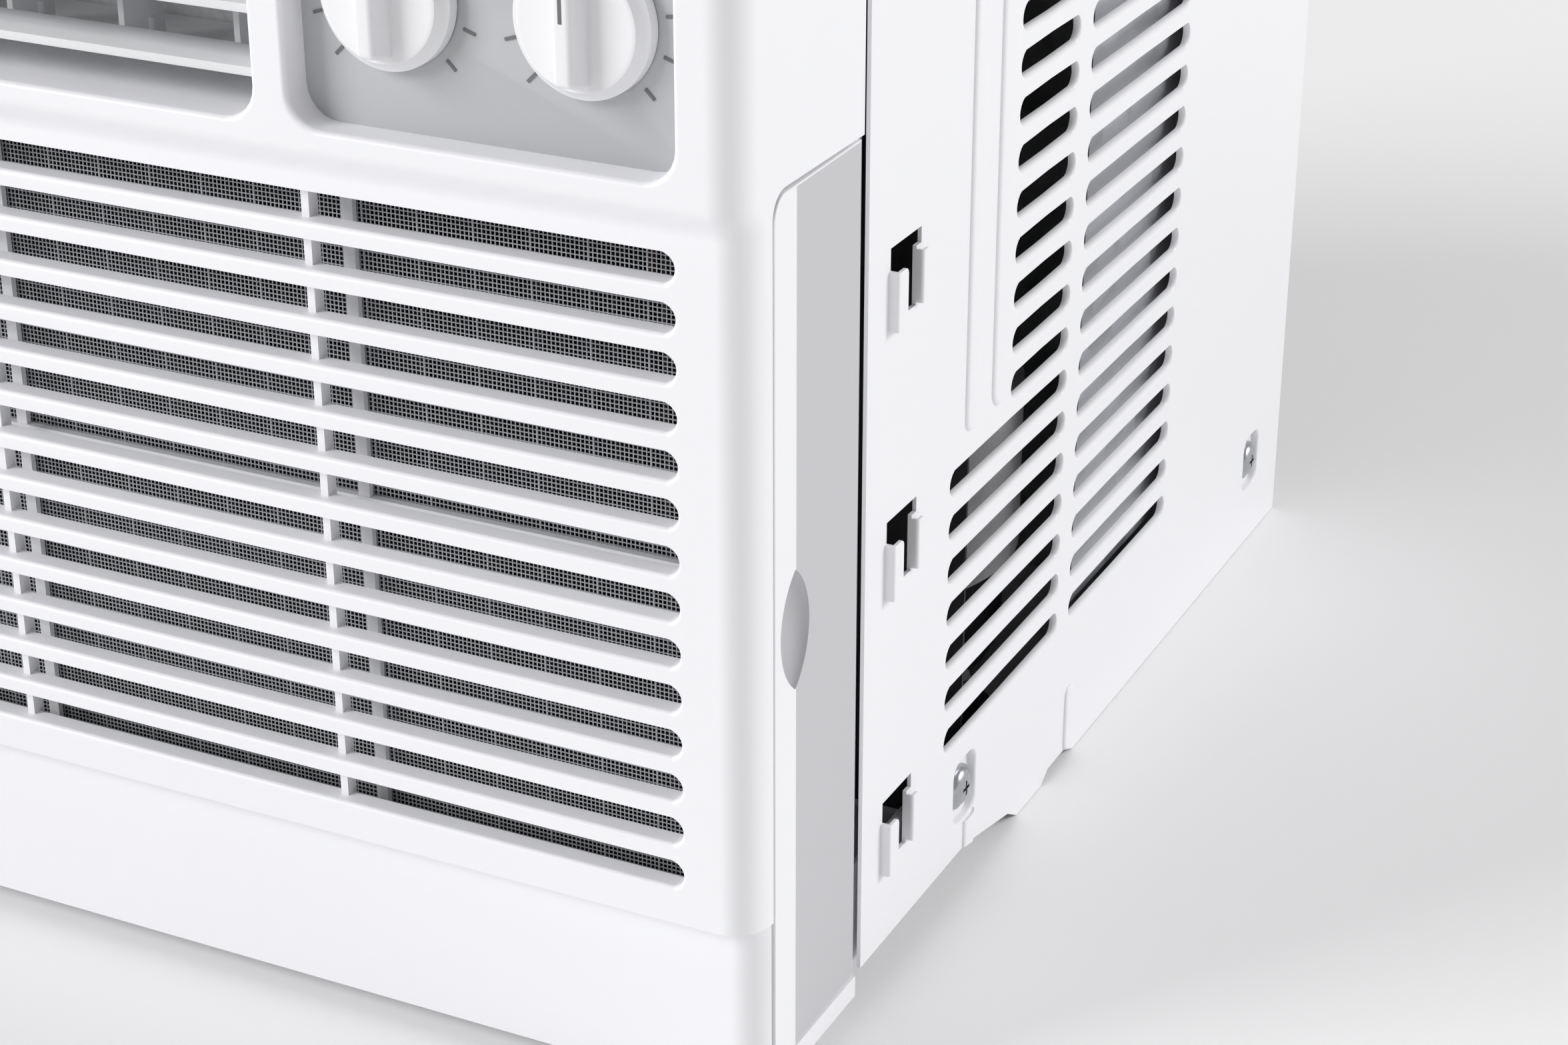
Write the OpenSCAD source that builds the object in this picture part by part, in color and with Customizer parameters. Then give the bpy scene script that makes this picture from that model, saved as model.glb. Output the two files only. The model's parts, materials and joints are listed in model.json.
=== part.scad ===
// Window air conditioner: a room-side plastic front over a steel cabinet with the whole
// refrigeration set inside. Millimetres. +X to the right of the front, +Y to the rear, +Z up.
// The origin is at the middle of the bottom face.

/* [Overall] */
// Width across the plastic front
panel_w = 406; // [402:1:410]
// Height of the unit
unit_h = 305; // [303:1:307]
// Depth from the origin to the knobs in front and to the guard behind
half_d = 200; // [199:1:202]
// Width of the steel cabinet
cabinet_w = 404; // [402:1:405]
// Thickness of the cabinet's steel
sheet = 1; // [0.8:0.1:1.2]
// Thickness of the plastic front's wall
wall = 2.5; // [2.2:0.1:2.8]

/* [Front grille] */
// Front face of the grille
grille_y = -192; // [-193:0.5:-191]
// Front face of the upper control zone
face_y = -196; // [-196.5:0.5:-195]
// Height at which the upper zone starts
crease_z = 221; // [220:1:223]
// Number of intake slots
slot_count = 14; // [10:1:14]
// Distance from one intake slot to the next
slot_pitch = 11.16; // [11:0.02:11.2]
// Height of an intake slot
slot_h = 7.2; // [6.6:0.2:7.4]
// Top edge of the highest intake slot
slot_top = 214.5; // [214:0.5:215]
// Half of an intake slot's length
slot_half = 185.5; // [180:0.5:186]
// Depth of the bars between the slots
bar_depth = 5.2; // [4.6:0.2:6]
// Radius of the front's vertical corners
corner_r = 8; // [6:1:10]

/* [Side louvres] */
// Top edge of the lowest side slot
louvre_top = 52; // [50:1:54]
// Distance from one side slot to the next
louvre_pitch = 12; // [11.5:0.1:12]
// Height of a side slot
louvre_h = 5.5; // [5:0.1:6]
// Number of side slots in a column
louvre_rows = 18; // [16:1:18]
// Number of long slots at the bottom of the front column
long_rows = 7; // [5:1:9]

/* [Air outlet] */
// Number of horizontal vanes
vane_count = 4; // [4:1:4]
// Number of upright deflectors
deflector_count = 8; // [6:1:8]
// Length of a crank arm on a horizontal vane
vane_crank = 10; // [10:0.5:10]
// Length of a crank arm on an upright deflector
deflector_crank = 14; // [14:0.5:14]

/* [Fan set] */
// Sideways place of the fan shaft
shaft_x = -40; // [-42:1:-38]
// Height of the fan shaft
shaft_z = 140; // [140:1:142]
// Radius of the fan shaft
shaft_r = 4; // [3.5:0.5:4]
// Outer radius of the condenser fan's ring
fan_r = 125; // [122:1:125]
// Outer radius of the blower wheel
blower_r = 80; // [76:1:80]

/* [Hidden] */
$fn = 48;
seam = 0.05;           // space between pieces that are moulded or glued together
slack = 0.05;          // radial clearance of a pin or shaft that turns
gap = 0.3;             // clearance between pieces that move past each other
panel_x = panel_w / 2;
cabinet_x = cabinet_w / 2;
panel_rear = -136.2;   // rear edge of the plastic front
cabinet_front = -131;  // front edge of the cabinet
cabinet_rear = 198.8;
guard_t = 1.2;
panel_bottom = 6;
skirt_y = [-139, -129];
chin_z = 53;           // top of the recessed chin under the grille
chin_y = -187;
window_z = [230, 290]; // heights of the outlet and control openings
outlet_x = [-188, 86];
control_x = [95, 188];
opening_r = 8;
rim = 2.5;             // wall round an opening
control_floor = -188;  // face of the control plate
outlet_back = -186;
grille_half = slot_half + 3.5;
grille_high = slot_top + 2.3;
grille_low = slot_top - slot_h - (slot_count - 1) * slot_pitch - 4;
tab_y = -181.3;        // front edge of the filter handle's opening
tab_z = [12, 226];
filter_y = [-180.5, -175.5];
hook_tops = [194.5, 126.5, 51];
hook_h = 18.5;
hook_y = [-119, -104.5, -101.8];
hook_out = 2.6;
screw_spots = [[-66.3, 28.5], [170, 28.5]];
pocket = [7, 9];       // half sizes of the pocket round a screw
flange_x = 197.6;      // inner face of the pan's side flange
knob_x = [118, 165];
knob_z = 260;
knob_r = 16;
vane_pivot_y = -183;
vane_z = [for (i = [0:vane_count - 1]) 239 + 14 * i];
deflector_pivot_y = -155;
deflector_x = [for (i = [0:deflector_count - 1]) -51 + (i - (deflector_count - 1) / 2) * 32];
pin_r = 1.5;
crank_r = 1.2;
duct_x = [-190, 88];
duct_y = [-132, -62];
duct_split = 233;       // height where the blower housing meets the outlet duct
throat_x = [-124, 46];
bulkhead_y = -58;
shroud_y = 120;
// Underside of the pan from front to rear: raised over the sill, one foot, one notch
pan_path = [[-150, 10.5], [-65, 10.5], [-35, 4], [-28, 0], [-10, 0], [-5, 3], [7, 3], [14, 0], [196, 0]];
pan_t = 1.2;
evap_x = 170;
evap_y = [-168, -140];
evap_z = [40, 222];
evap_cols = [-161, -147];
evap_rows = [for (i = [0:7]) 54 + 22 * i];
evap_tube = 4;
cond_x = 176;
cond_y = [150, 190];
cond_z = [6, 292];
cond_cols = [160, 180];
cond_rows = [for (i = [0:8]) 28 + 28 * i];
cond_tube = 4.8;
comp = [126, 12];      // centre of the compressor
comp_r = 50;
foot_ring = 60;
foot_at = [for (a = [90, 210, 330]) [comp[0] + foot_ring * cos(a), comp[1] + foot_ring * sin(a)]];
accumulator_at = [48, -8];
suction_route = [[48, -8, 200], [48, -8, 232], [100, -8, 232], [100, -136, 232], [190, -136, 232],
    [190, -147, 232], [190, -147, 208], [171.5, -147, 208]];
discharge_route = [[126, 38, 194], [126, 38, 252], [186, 38, 252], [186, 138, 252], [193, 138, 252],
    [193, 160, 252], [177.6, 160, 252]];
capillary_route = [[177.6, 180, 252], [186, 180, 252], [186, 170, 252], [186, 170, 14], [192, 170, 14],
    [192, -136, 14], [192, -136, 196], [192, -161, 196], [192, -161, 208], [171.5, -161, 208]];
bulb_route = [[150, -171.8, 200], [170, -171.8, 200], [170, -171.8, 245.8]];
lead_route = [[-40, -5, 186.2], [-40, -5, 244], [-40, -30, 244], [106, -30, 244], [106, -141.8, 244]];

// ---- Shapes used by several pieces ----

// Box between two opposite corners
module box(a, b) { translate(a) cube(b - a); }

// Rectangle between two corners with rounded corners
module round_rect(a, b, r) {
    translate([a[0] + r, a[1]]) square([b[0] - a[0] - 2 * r, b[1] - a[1]]);
    translate([a[0], a[1] + r]) square([b[0] - a[0], b[1] - a[1] - 2 * r]);
    for (x = [a[0] + r, b[0] - r], y = [a[1] + r, b[1] - r]) translate([x, y]) circle(r);
}

// Slot with round ends between two corners, its length along the first axis
module slot(a, b) {
    r = (b[1] - a[1]) / 2;
    translate([a[0] + r, a[1]]) square([b[0] - a[0] - 2 * r, 2 * r]);
    for (x = [a[0] + r, b[0] - r]) translate([x, a[1] + r]) circle(r);
}

// A drawing in (y, z) made solid from x0 to x1
module along_x(x0, x1) { translate([x0, 0, 0]) rotate([90, 0, 90]) linear_extrude(x1 - x0) children(); }

// A drawing in (x, z) made solid from y0 to y1
module along_y(y0, y1) { translate([0, y1, 0]) rotate([90, 0, 0]) linear_extrude(y1 - y0) children(); }

// A drawing in (x, y) made solid from z0 to z1
module along_z(z0, z1) { translate([0, 0, z0]) linear_extrude(z1 - z0) children(); }

module rod_x(x0, x1, y, z, r) { along_x(x0, x1) translate([y, z]) circle(r); }
module rod_y(x, y0, y1, z, r) { along_y(y0, y1) translate([x, z]) circle(r); }
module rod_z(x, y, z0, z1, r) { along_z(z0, z1) translate([x, y]) circle(r); }

// Round bar between two points
module bar(a, b, r) {
    d = b - a;
    translate(a) rotate([0, acos(d[2] / norm(d)), atan2(d[1], d[0])]) cylinder(h = norm(d), r = r);
}

// Quarter bend of radius bend at corner p, from direction d1 to direction d2
module elbow(p, d1, d2, r, bend) {
    c = p - d1 * bend + d2 * bend;
    n = cross(d1, d2);
    multmatrix([[-d2[0], d1[0], n[0], c[0]], [-d2[1], d1[1], n[1], c[1]], [-d2[2], d1[2], n[2], c[2]]])
        rotate_extrude(angle = 90) translate([bend, 0]) circle(r);
}

// Tube through a list of points with a quarter bend at every corner
module pipe(route, r, bend) {
    last = len(route) - 1;
    function heading(i) = (route[i + 1] - route[i]) / norm(route[i + 1] - route[i]);
    for (i = [0:last - 1]) {
        d = heading(i);
        bar(route[i] + d * (i > 0 ? bend : 0), route[i + 1] - d * (i < last - 1 ? bend : 0), r);
        if (i > 0) elbow(route[i], heading(i - 1), d, r, bend);
    }
}

// Both the shape and its mirror image on the other side of the unit
module both_sides() {
    children();
    mirror([1, 0, 0]) children();
}

// ---- Plastic front ----

// Plan of the front: flat face at front_y with rounded corners, grown inwards by inset
module front_plan(front_y, inset) {
    x = panel_x - inset;
    y = front_y + inset;
    r = corner_r - inset;
    translate([-x, y + r]) square([2 * x, panel_rear - y - r]);
    translate([-x + r, y]) square([2 * (x - r), r + 1]);
    for (s = [-1, 1]) translate([s * (x - r), y + r]) circle(r);
}

// Profile that rounds the top front edge
module top_profile(inset) {
    r = corner_r - inset;
    z = unit_h - inset;
    y = face_y + inset;
    translate([y, panel_bottom]) square([panel_rear + 10 - y, z - r - panel_bottom]);
    translate([y + r, panel_bottom]) square([panel_rear + 10 - y - r, z - panel_bottom]);
    translate([y + r, z - r]) circle(r);
}

// The whole front as a solid, grown inwards by inset
module front_shell_solid(inset) {
    step_z = crease_z + inset;
    difference() {
        union() {
            along_z(panel_bottom + inset, step_z) front_plan(grille_y, inset);
            intersection() {
                along_z(step_z, unit_h) front_plan(face_y, inset);
                along_x(-panel_x, panel_x) top_profile(inset);
            }
        }
        box([-panel_x - 1, -half_d, 0], [panel_x + 1, chin_y + inset, chin_z + inset]);
    }
}

module window_rim(x, back) {
    along_y(face_y + 1, back)
        round_rect([x[0] - rim, window_z[0] - rim], [x[1] + rim, window_z[1] + rim], opening_r + rim);
}

module window_cut(x, back) {
    along_y(-half_d, back) round_rect([x[0], window_z[0]], [x[1], window_z[1]], opening_r);
}

// Face with its corners, the openings for the outlet and the controls, and the one for the grille
module front_panel() {
    color("white") difference() {
        union() {
            intersection() {
                difference() {
                    front_shell_solid(0);
                    front_shell_solid(wall);
                }
                box([-panel_x - 1, -half_d, 0], [panel_x + 1, tab_y - seam, unit_h + 1]);
            }
            window_rim(outlet_x, outlet_back);
            window_rim(control_x, control_floor);
        }
        window_cut(outlet_x, outlet_back + 1);
        window_cut(control_x, control_floor + 1);
        box([-grille_half, -half_d, grille_low], [grille_half, tab_y, grille_high]);
    }
}

// Bars of the intake, moulded with the face, and the upright ribs behind them
module intake_grille() {
    y0 = grille_y;
    color("white") {
        difference() {
            box([-grille_half + seam, y0, grille_low + seam],
                [grille_half - seam, y0 + bar_depth, grille_high - seam]);
            for (i = [0:slot_count - 1]) {
                top = slot_top - i * slot_pitch;
                along_y(y0 - 1, y0 + bar_depth + 1)
                    slot([-slot_half, top - slot_h], [slot_half, top]);
            }
        }
        for (x = [-93, 0, 93])
            box([x - 1, y0 + 3, grille_low + 2], [x + 1, y0 + bar_depth + 1.5, slot_top + 1]);
    }
}

// Sides, top and bottom behind the face, with the skirt that plugs into the cabinet. Each wall
// ends a seam short of the next one, so that it stays a plain plate.
module front_surround() {
    x = panel_x - wall;
    top = unit_h - wall;
    y = [tab_y, panel_rear];
    color("white") {
        // Left wall with its skirt
        difference() {
            box([-panel_x, y[0], panel_bottom], [-x, y[1], unit_h]);
            rod_x(-panel_x - 1, -x + 1, -166, 24, 7);
        }
        skirt_plate(-x - 0.1, -x + 2, top - 6);
        // Top, with the skirt between the cabinet's rounded corners
        box([-x + seam, y[0], top], [panel_x, y[1], unit_h]);
        box([-x + 6, skirt_y[0], top - 2], [x - 6, skirt_y[1], top + 0.1]);
        // Bottom, up to the opening for the filter and its handle
        box([-x + seam, y[0], panel_bottom], [panel_x, y[1], panel_bottom + wall]);
        box([x, y[0], panel_bottom], [panel_x, y[1], tab_z[0] - gap]);
        // Right wall above that opening
        box([x, y[0], tab_z[1] + gap], [panel_x, y[1], top - seam]);
        skirt_plate(x - 2, x - seam, top - 6);
    }
}

module skirt_plate(x0, x1, top) { box([x0, skirt_y[0], panel_bottom + 6], [x1, skirt_y[1], top]); }

module finger_lens() {
    // Almond outline where two circles cross
    intersection() {
        translate([-10.5, 0]) circle(17.5);
        translate([10.5, 0]) circle(17.5);
    }
}

module filter_frame() {
    x0 = -192;
    color("whitesmoke") difference() {
        union() {
            difference() {
                box([x0, filter_y[0], 42], [panel_x - wall + 1, filter_y[1], 222]);
                box([x0 + 6, filter_y[0] - 1, 48], [188, filter_y[1] + 1, 216]);
            }
            // Cross ribs in front of the mesh
            box([x0 + 1, filter_y[0], 131], [192, filter_y[0] + 2, 137.7]);
            for (x = [-98, 0, 98]) box([x - 1.5, filter_y[0], 44], [x + 1.5, filter_y[0] + 2, 220]);
            // Handle that fills the opening in the side of the front
            along_x(panel_x - wall + 0.4, panel_x) {
                round_rect([tab_y + gap, tab_z[0]], [panel_rear - 20, tab_z[1]], 6);
                translate([panel_rear - 30, tab_z[0]]) square([30, tab_z[1] - tab_z[0]]);
            }
            box([panel_x - wall - 3.5, filter_y[1] - 3, 104], [panel_x - 1, filter_y[1] + 15, 140]);
        }
        along_x(panel_x - 3, panel_x + 1) translate([-170.4, 122]) finger_lens();
    }
}

module filter_mesh() {
    color("dimgray") box([-186, -178.4, 48], [188, -177.6, 216]);
}

// ---- Controls ----

module control_plate() {
    color("lightgray") difference() {
        box([control_x[0] - rim, control_floor, window_z[0] - rim],
            [control_x[1] + rim, control_floor + 2, window_z[1] + rim]);
        for (x = knob_x) rod_y(x, control_floor - 1, control_floor + 3, knob_z, 3.6);
    }
}

module knob(x) {
    color("white") {
        rod_y(x, -191.4, control_floor - gap, knob_z, knob_r);
        rod_y(x, -194, -191.4, knob_z, knob_r - 2);
        box([x - 3, -half_d, knob_z - 13], [x + 3, -193, knob_z + 13]);
        rod_y(x, -191, -172, knob_z, 3);
    }
}

module mode_knob() { knob(knob_x[0]); }
module temperature_knob() { knob(knob_x[1]); }

module switch_body(x) {
    difference() {
        box([x - 14, control_floor + 2, knob_z - 14], [x + 14, -160, knob_z + 14]);
        rod_y(x, control_floor, -170, knob_z, 3 + slack);
    }
}

module rotary_switch() { color("ivory") switch_body(knob_x[0]); }

module thermostat() { color("silver") switch_body(knob_x[1]); }

module sensing_bulb() {
    color("peru") {
        rod_x(95, 150, -171.8, 200, 2.3);
        pipe(bulb_route, 0.9, 4);
    }
}

module control_box() {
    color("silver") difference() {
        box([96, -185.8, 229], [183, -142, 291]);
        box([97, -187, 230], [182, -143, 290]);
        rod_z(170, -171.8, 228, 231, 3);
    }
}

// ---- Air outlet ----

module outlet_frame() {
    a = [outlet_x[0] - rim, outlet_back, window_z[0] - rim];
    b = [outlet_x[1] + rim, -134, window_z[1] + rim];
    color("gainsboro") difference() {
        box(a, b);
        box([outlet_x[0], a[1] - 1, window_z[0]], [outlet_x[1], b[1] + 1, window_z[1]]);
        for (z = vane_z) rod_x(a[0] - 1, b[0] + 1, vane_pivot_y, z, pin_r + slack);
        for (x = deflector_x) rod_z(x, deflector_pivot_y, a[2] - 1, b[2] + 1, pin_r + slack);
    }
}

module outlet_vane(z) {
    color("white") {
        box([-179, -190.5, z - 1], [84.4, -175.5, z + 1]);
        box([-186.4, -187, z - 1], [-178, -179.2, z + 1]);
        rod_x(outlet_x[0] - 2.3, -179, vane_pivot_y, z, pin_r);
        rod_x(80, outlet_x[1] + 2.3, vane_pivot_y, z, pin_r);
        // Crank arm and pin
        box([-179, -176.5, z - 1.5], [-177.4, vane_pivot_y + vane_crank + 1.6, z + 1.5]);
        rod_x(-185.5, -178.5, vane_pivot_y + vane_crank, z, crank_r);
    }
}

module vane_link() {
    color("gainsboro") along_x(-183, -181.4) difference() {
        translate([-178, 235.6]) square([9, 48.8]);
        for (z = vane_z) round_rect([-176, z - 1.8], [-171.2, z + 1.8], 1.2);
    }
}

module deflector(x, tabbed) {
    color("white") {
        box([x - 0.8, -165, 231], [x + 0.8, -150, 289]);
        for (z = [[window_z[0] - 2.3, 236], [284, window_z[1] + 2.3]])
            rod_z(x, deflector_pivot_y, z[0], z[1], pin_r);
        // Crank arm and pin
        box([x - 1.5, -150.5, 262], [x + 1.5, deflector_pivot_y + deflector_crank + 1.4, 266]);
        rod_z(x, deflector_pivot_y + deflector_crank, 265, 270.6, crank_r);
        if (tabbed) box([x - 0.8, -171, 254], [x + 0.8, -164, 266]);
    }
}

module deflector_link() {
    color("gainsboro") along_z(267, 269) difference() {
        translate([deflector_x[0] - 6, -146.4])
            square([deflector_x[deflector_count - 1] - deflector_x[0] + 12, 8.8]);
        for (x = deflector_x) round_rect([x - 1.9, -144.6], [x + 1.9, -139.4], 1.2);
    }
}

// Foam housing of the blower
module air_duct() {
    color("white") difference() {
        box([duct_x[0], duct_y[0], 50], [duct_x[1], duct_y[1], duct_split - seam]);
        rod_y(shaft_x, duct_y[0] + 6, duct_y[1] - 4, shaft_z, blower_r + 6);
        box([throat_x[0], duct_y[0] + 6, shaft_z], [throat_x[1], duct_y[1] - 4, duct_split + 1]);
        rod_y(shaft_x, duct_y[0] - 1, duct_y[0] + 8, shaft_z, 64);
        rod_y(shaft_x, duct_y[1] - 5, duct_y[1] + 1, shaft_z, 14);
    }
}

// Foam duct that leads the air forward over the blower
module outlet_duct() {
    color("white") difference() {
        box([duct_x[0], duct_y[0], duct_split], [duct_x[1], duct_y[1], 292]);
        box([duct_x[0] + 6, duct_y[0] - 1, duct_split + 3], [duct_x[1] - 6, duct_y[1] - 4, 286]);
        box([throat_x[0], duct_y[0] + 6, duct_split - 1], [throat_x[1], duct_y[1] - 4, duct_split + 4]);
    }
}

// ---- Cabinet and pan ----

// Wavy lower edge shared by the pan and the cabinet's sides, raised by lift
function pan_line(lift) = [for (p = pan_path) [p[0], p[1] + lift]];

// Louvre and hook openings of one side, drawn in (y, z)
module side_openings() {
    for (k = [0:louvre_rows - 1]) {
        z = louvre_top + k * louvre_pitch;
        front = k < long_rows ? -80.6 : -42;
        slot([front, z - louvre_h], [-3, z]);
        slot([6.7, z - louvre_h], [84, z]);
    }
    for (z = hook_tops) {
        translate([hook_y[0], z - hook_h]) square([hook_y[1] - hook_y[0], hook_h]);
        translate([hook_y[1] - 0.1, z - 4]) square([hook_y[2] - hook_y[1] + 0.1, 4]);
    }
    for (s = screw_spots) round_rect(s - pocket, s + pocket, 4);
}

// Pair of outward hooks at one hook opening
module hook_pair(z) {
    low = z - hook_h - 1.3;
    tip = cabinet_x + hook_out;
    box([cabinet_x - sheet, hook_y[0] - 0.8, low], [tip, hook_y[0], low + 14.5]);
    box([tip - 0.8, hook_y[0] - 0.8, low], [tip, hook_y[0] + 4.4, low + 14.5]);
    box([cabinet_x - sheet, hook_y[1], low + 2], [tip, hook_y[1] + 0.8, low + 15]);
    box([tip - 0.8, hook_y[1], low + 2], [tip, hook_y[1] + 2.6, low + 15]);
}

// Pressed pocket round a side screw
module screw_pocket(s) {
    floor_x = flange_x + 1.2;
    difference() {
        along_x(floor_x, cabinet_x) round_rect(s - pocket - [1, 1], s + pocket + [1, 1], 5);
        along_x(floor_x + sheet, cabinet_x + 1) round_rect(s - pocket, s + pocket, 4);
        rod_x(floor_x - 1, cabinet_x + 1, s[0], s[1], 2.1);
    }
}

module cabinet() {
    r = 6;
    color("white") {
        difference() {
            along_y(cabinet_front, cabinet_rear) difference() {
                round_rect([-cabinet_x, -20], [cabinet_x, unit_h], r);
                round_rect([-cabinet_x + sheet, -21], [cabinet_x - sheet, unit_h - sheet], r - sheet);
            }
            along_x(-cabinet_x - 1, cabinet_x + 1) {
                side_openings();
                polygon(concat(pan_line(0.2), [[210, 0.2], [210, -30], [-150, -30]]));
            }
            for (x = [-150, 150]) rod_z(x, -100, unit_h - 3, unit_h + 1, 2.2);
        }
        // Return flange round the rear opening
        along_y(cabinet_rear - sheet, cabinet_rear) difference() {
            round_rect([-cabinet_x, 0.4], [cabinet_x, unit_h], r);
            translate([-cabinet_x + 9, -1]) square([2 * cabinet_x - 18, unit_h - 7]);
        }
        both_sides() {
            for (z = hook_tops) hook_pair(z);
            for (s = screw_spots) screw_pocket(s);
        }
    }
}

module base_pan() {
    color("lightslategray") difference() {
        union() {
            along_x(-flange_x - 1.2, flange_x + 1.2)
                polygon(concat(pan_path, [for (i = [len(pan_path) - 1:-1:0]) pan_path[i] + [0, pan_t]]));
            both_sides() along_x(flange_x, flange_x + 1.2)
                polygon(concat([for (i = [1:len(pan_path) - 1]) pan_path[i]],
                    [[196, 38], [-128, 38], [-128, 10.5]]));
            box([-flange_x, -150, 10.5], [flange_x, -148.8, 22]);
            box([-flange_x, 194.8, 0], [flange_x, 196, 9]);
            rod_z(-150, 130, 0, 7, 8.2);
        }
        rod_z(-150, 130, -1, 8, 7);
        for (s = screw_spots) rod_x(-210, 210, s[0], s[1], 2.1);
    }
}

module cabinet_screws() {
    face = flange_x + 1.2 + sheet;
    color("silver") both_sides() for (s = screw_spots) difference() {
        union() {
            rod_x(face - 7, face, s[0], s[1], 1.9);
            rod_x(face, face + 0.8, s[0], s[1], 6.2);
            intersection() {
                translate([face - 2.6, s[0], s[1]]) sphere(5.4);
                rod_x(face + 0.8, face + 4, s[0], s[1], 4.3);
            }
        }
        for (a = [0, 90]) translate([face + 3, s[0], s[1]]) rotate([a, 0, 0])
            cube([3, 4, 0.9], center = true);
    }
}

module bulkhead() {
    color("silver") difference() {
        box([-197, bulkhead_y, 12], [197, bulkhead_y + 1, 303.4]);
        rod_y(shaft_x, bulkhead_y - 1, bulkhead_y + 2, shaft_z, 12);
        rod_y(100, bulkhead_y - 1, bulkhead_y + 2, 232, 6.5);
        rod_y(106, bulkhead_y - 1, bulkhead_y + 2, 244, 3);
        rod_y(192, bulkhead_y - 1, bulkhead_y + 2, 14, 2.2);
    }
}

// ---- Fans ----

module blower_inlet_plate() {
    color("gainsboro") difference() {
        union() {
            box([-196, -136, 42], [180, -134.4, 226]);
            rod_y(shaft_x, -137.5, -134.4, shaft_z, 66);
        }
        rod_y(shaft_x, -139, -133, shaft_z, 62);
    }
}

module blower_wheel() {
    blades = 36;
    color("dimgray") translate([shaft_x, 0, shaft_z]) {
        difference() {
            union() {
                rod_y(0, -74, -72, 0, blower_r);
                rod_y(0, -86, -72, 0, 10);
            }
            rod_y(0, -90, -70, 0, shaft_r);
        }
        along_y(-124, -120) difference() { circle(blower_r); circle(blower_r - 4); }
        along_y(-122, -73) for (i = [0:blades - 1])
            rotate(i * 360 / blades) translate([blower_r - 14, 0]) rotate(25) square([13, 1.2]);
    }
}

module motor_shaft() { color("lightgray") rod_y(shaft_x, -92, 116, shaft_z, shaft_r); }

module fan_motor() {
    color("darkgray") difference() {
        union() {
            rod_y(shaft_x, -44, 34, shaft_z, 46);
            rod_y(shaft_x, -50, 40, shaft_z, 30);
            rod_y(shaft_x, -55, 46, shaft_z, 11);
        }
        rod_y(shaft_x, -56, 47, shaft_z, shaft_r + slack);
    }
}

module motor_bracket() {
    color("silver") difference() {
        along_y(14, 30) difference() {
            polygon([[-104, 1.2], [24, 1.2], [6, 118], [-86, 118]]);
            translate([shaft_x, shaft_z]) circle(46);
            polygon([[-90, 3.2], [10, 3.2], [2, 80], [-82, 80]]);
        }
        box([-110, 16, 3.2], [30, 28, 80]);
    }
}

module condenser_fan() {
    y0 = 86;
    y1 = 114;
    color("dimgray") translate([shaft_x, 0, shaft_z]) difference() {
        union() {
            rod_y(0, y0 + 4, y1, 0, 20);
            intersection() {
                along_y(y0, y1) difference() { circle(fan_r - 2); circle(18); }
                for (i = [0:3]) rotate([0, i * 90, 0]) translate([0, (y0 + y1) / 2, 0])
                    rotate([28, 0, 0]) box([15, -1.2, -30], [fan_r, 1.2, 30]);
            }
            along_y(y1 - 10, y1) difference() { circle(fan_r); circle(fan_r - 4); }
        }
        rod_y(0, y0, y1 + 1, 0, shaft_r);
    }
}

module fan_shroud() {
    hole_r = fan_r + 4;
    color("silver") difference() {
        union() {
            box([-196.5, shroud_y, 1.4], [196.5, shroud_y + 1.2, 300]);
            rod_y(shaft_x, shroud_y - 24, shroud_y + 1.2, shaft_z, hole_r + 1.2);
            box([195.3, 22, 42], [196.5, shroud_y + 1, 300]);
            box([-196.5, 90, 42], [-195.3, shroud_y + 1, 300]);
        }
        rod_y(shaft_x, shroud_y - 30, shroud_y + 3, shaft_z, hole_r);
        rod_y(186, shroud_y - 1, shroud_y + 2, 252, 5);
        rod_y(192, shroud_y - 1, shroud_y + 2, 14, 2.2);
    }
}

module rear_guard() {
    color("whitesmoke") along_y(cabinet_rear, half_d) difference() {
        round_rect([-199, 3], [199, 301], 5);
        for (i = [0:23], j = [0:2])
            translate([(i - 11.5) * 16, 16 + j * 95]) rotate(90) slot([0, -5.5], [86, 5.5]);
    }
}

// ---- Coils ----

// Block of fins with end plates and a bore for every tube
module fin_block(half_x, y, z, cols, rows, r) {
    difference() {
        union() {
            box([-half_x, y[0], z[0]], [half_x, y[1], z[1]]);
            both_sides() box([half_x, y[0] - 1, z[0]], [half_x + 1.2, y[1] + 1, z[1] + 1]);
        }
        for (c = cols, h = rows) rod_x(-half_x - 2, half_x + 2, c, h, r);
    }
}

// Half-round return bend from height z up to the next row on side s
module return_bend(x, y, z, pitch, r, s) {
    translate([x, y, z + pitch / 2]) rotate([90, 0, 0]) rotate([0, 0, -90 * s])
        rotate_extrude(angle = 180) translate([pitch / 2, 0]) circle(r);
}

// Straight tubes with return bends: one serpentine in each column, joined at the lowest row
module serpentine(half_x, cols, rows, r, pitch) {
    x = half_x + 1.2;
    last = len(rows) - 1;
    for (c = cols) {
        for (h = rows) rod_x(-x, x, c, h, r);
        for (i = [0:last - 1]) {
            s = (last - i) % 2 == 0 ? 1 : -1;
            return_bend(s * x, c, rows[i], pitch, r, s);
        }
    }
    join = last % 2 == 0 ? -1 : 1;
    translate([join * x, (cols[0] + cols[1]) / 2, rows[0]]) rotate(-90 * join)
        rotate_extrude(angle = 180) translate([(cols[1] - cols[0]) / 2, 0]) circle(r);
}

module condenser_fins() {
    color("silver") fin_block(cond_x, cond_y, cond_z, cond_cols, cond_rows, cond_tube);
}

module condenser_tubes() { color("peru") serpentine(cond_x, cond_cols, cond_rows, cond_tube, 28); }

module evaporator_fins() {
    color("silver") fin_block(evap_x, evap_y, evap_z, evap_cols, evap_rows, evap_tube);
}

module evaporator_tubes() { color("peru") serpentine(evap_x, evap_cols, evap_rows, evap_tube, 22); }

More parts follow.
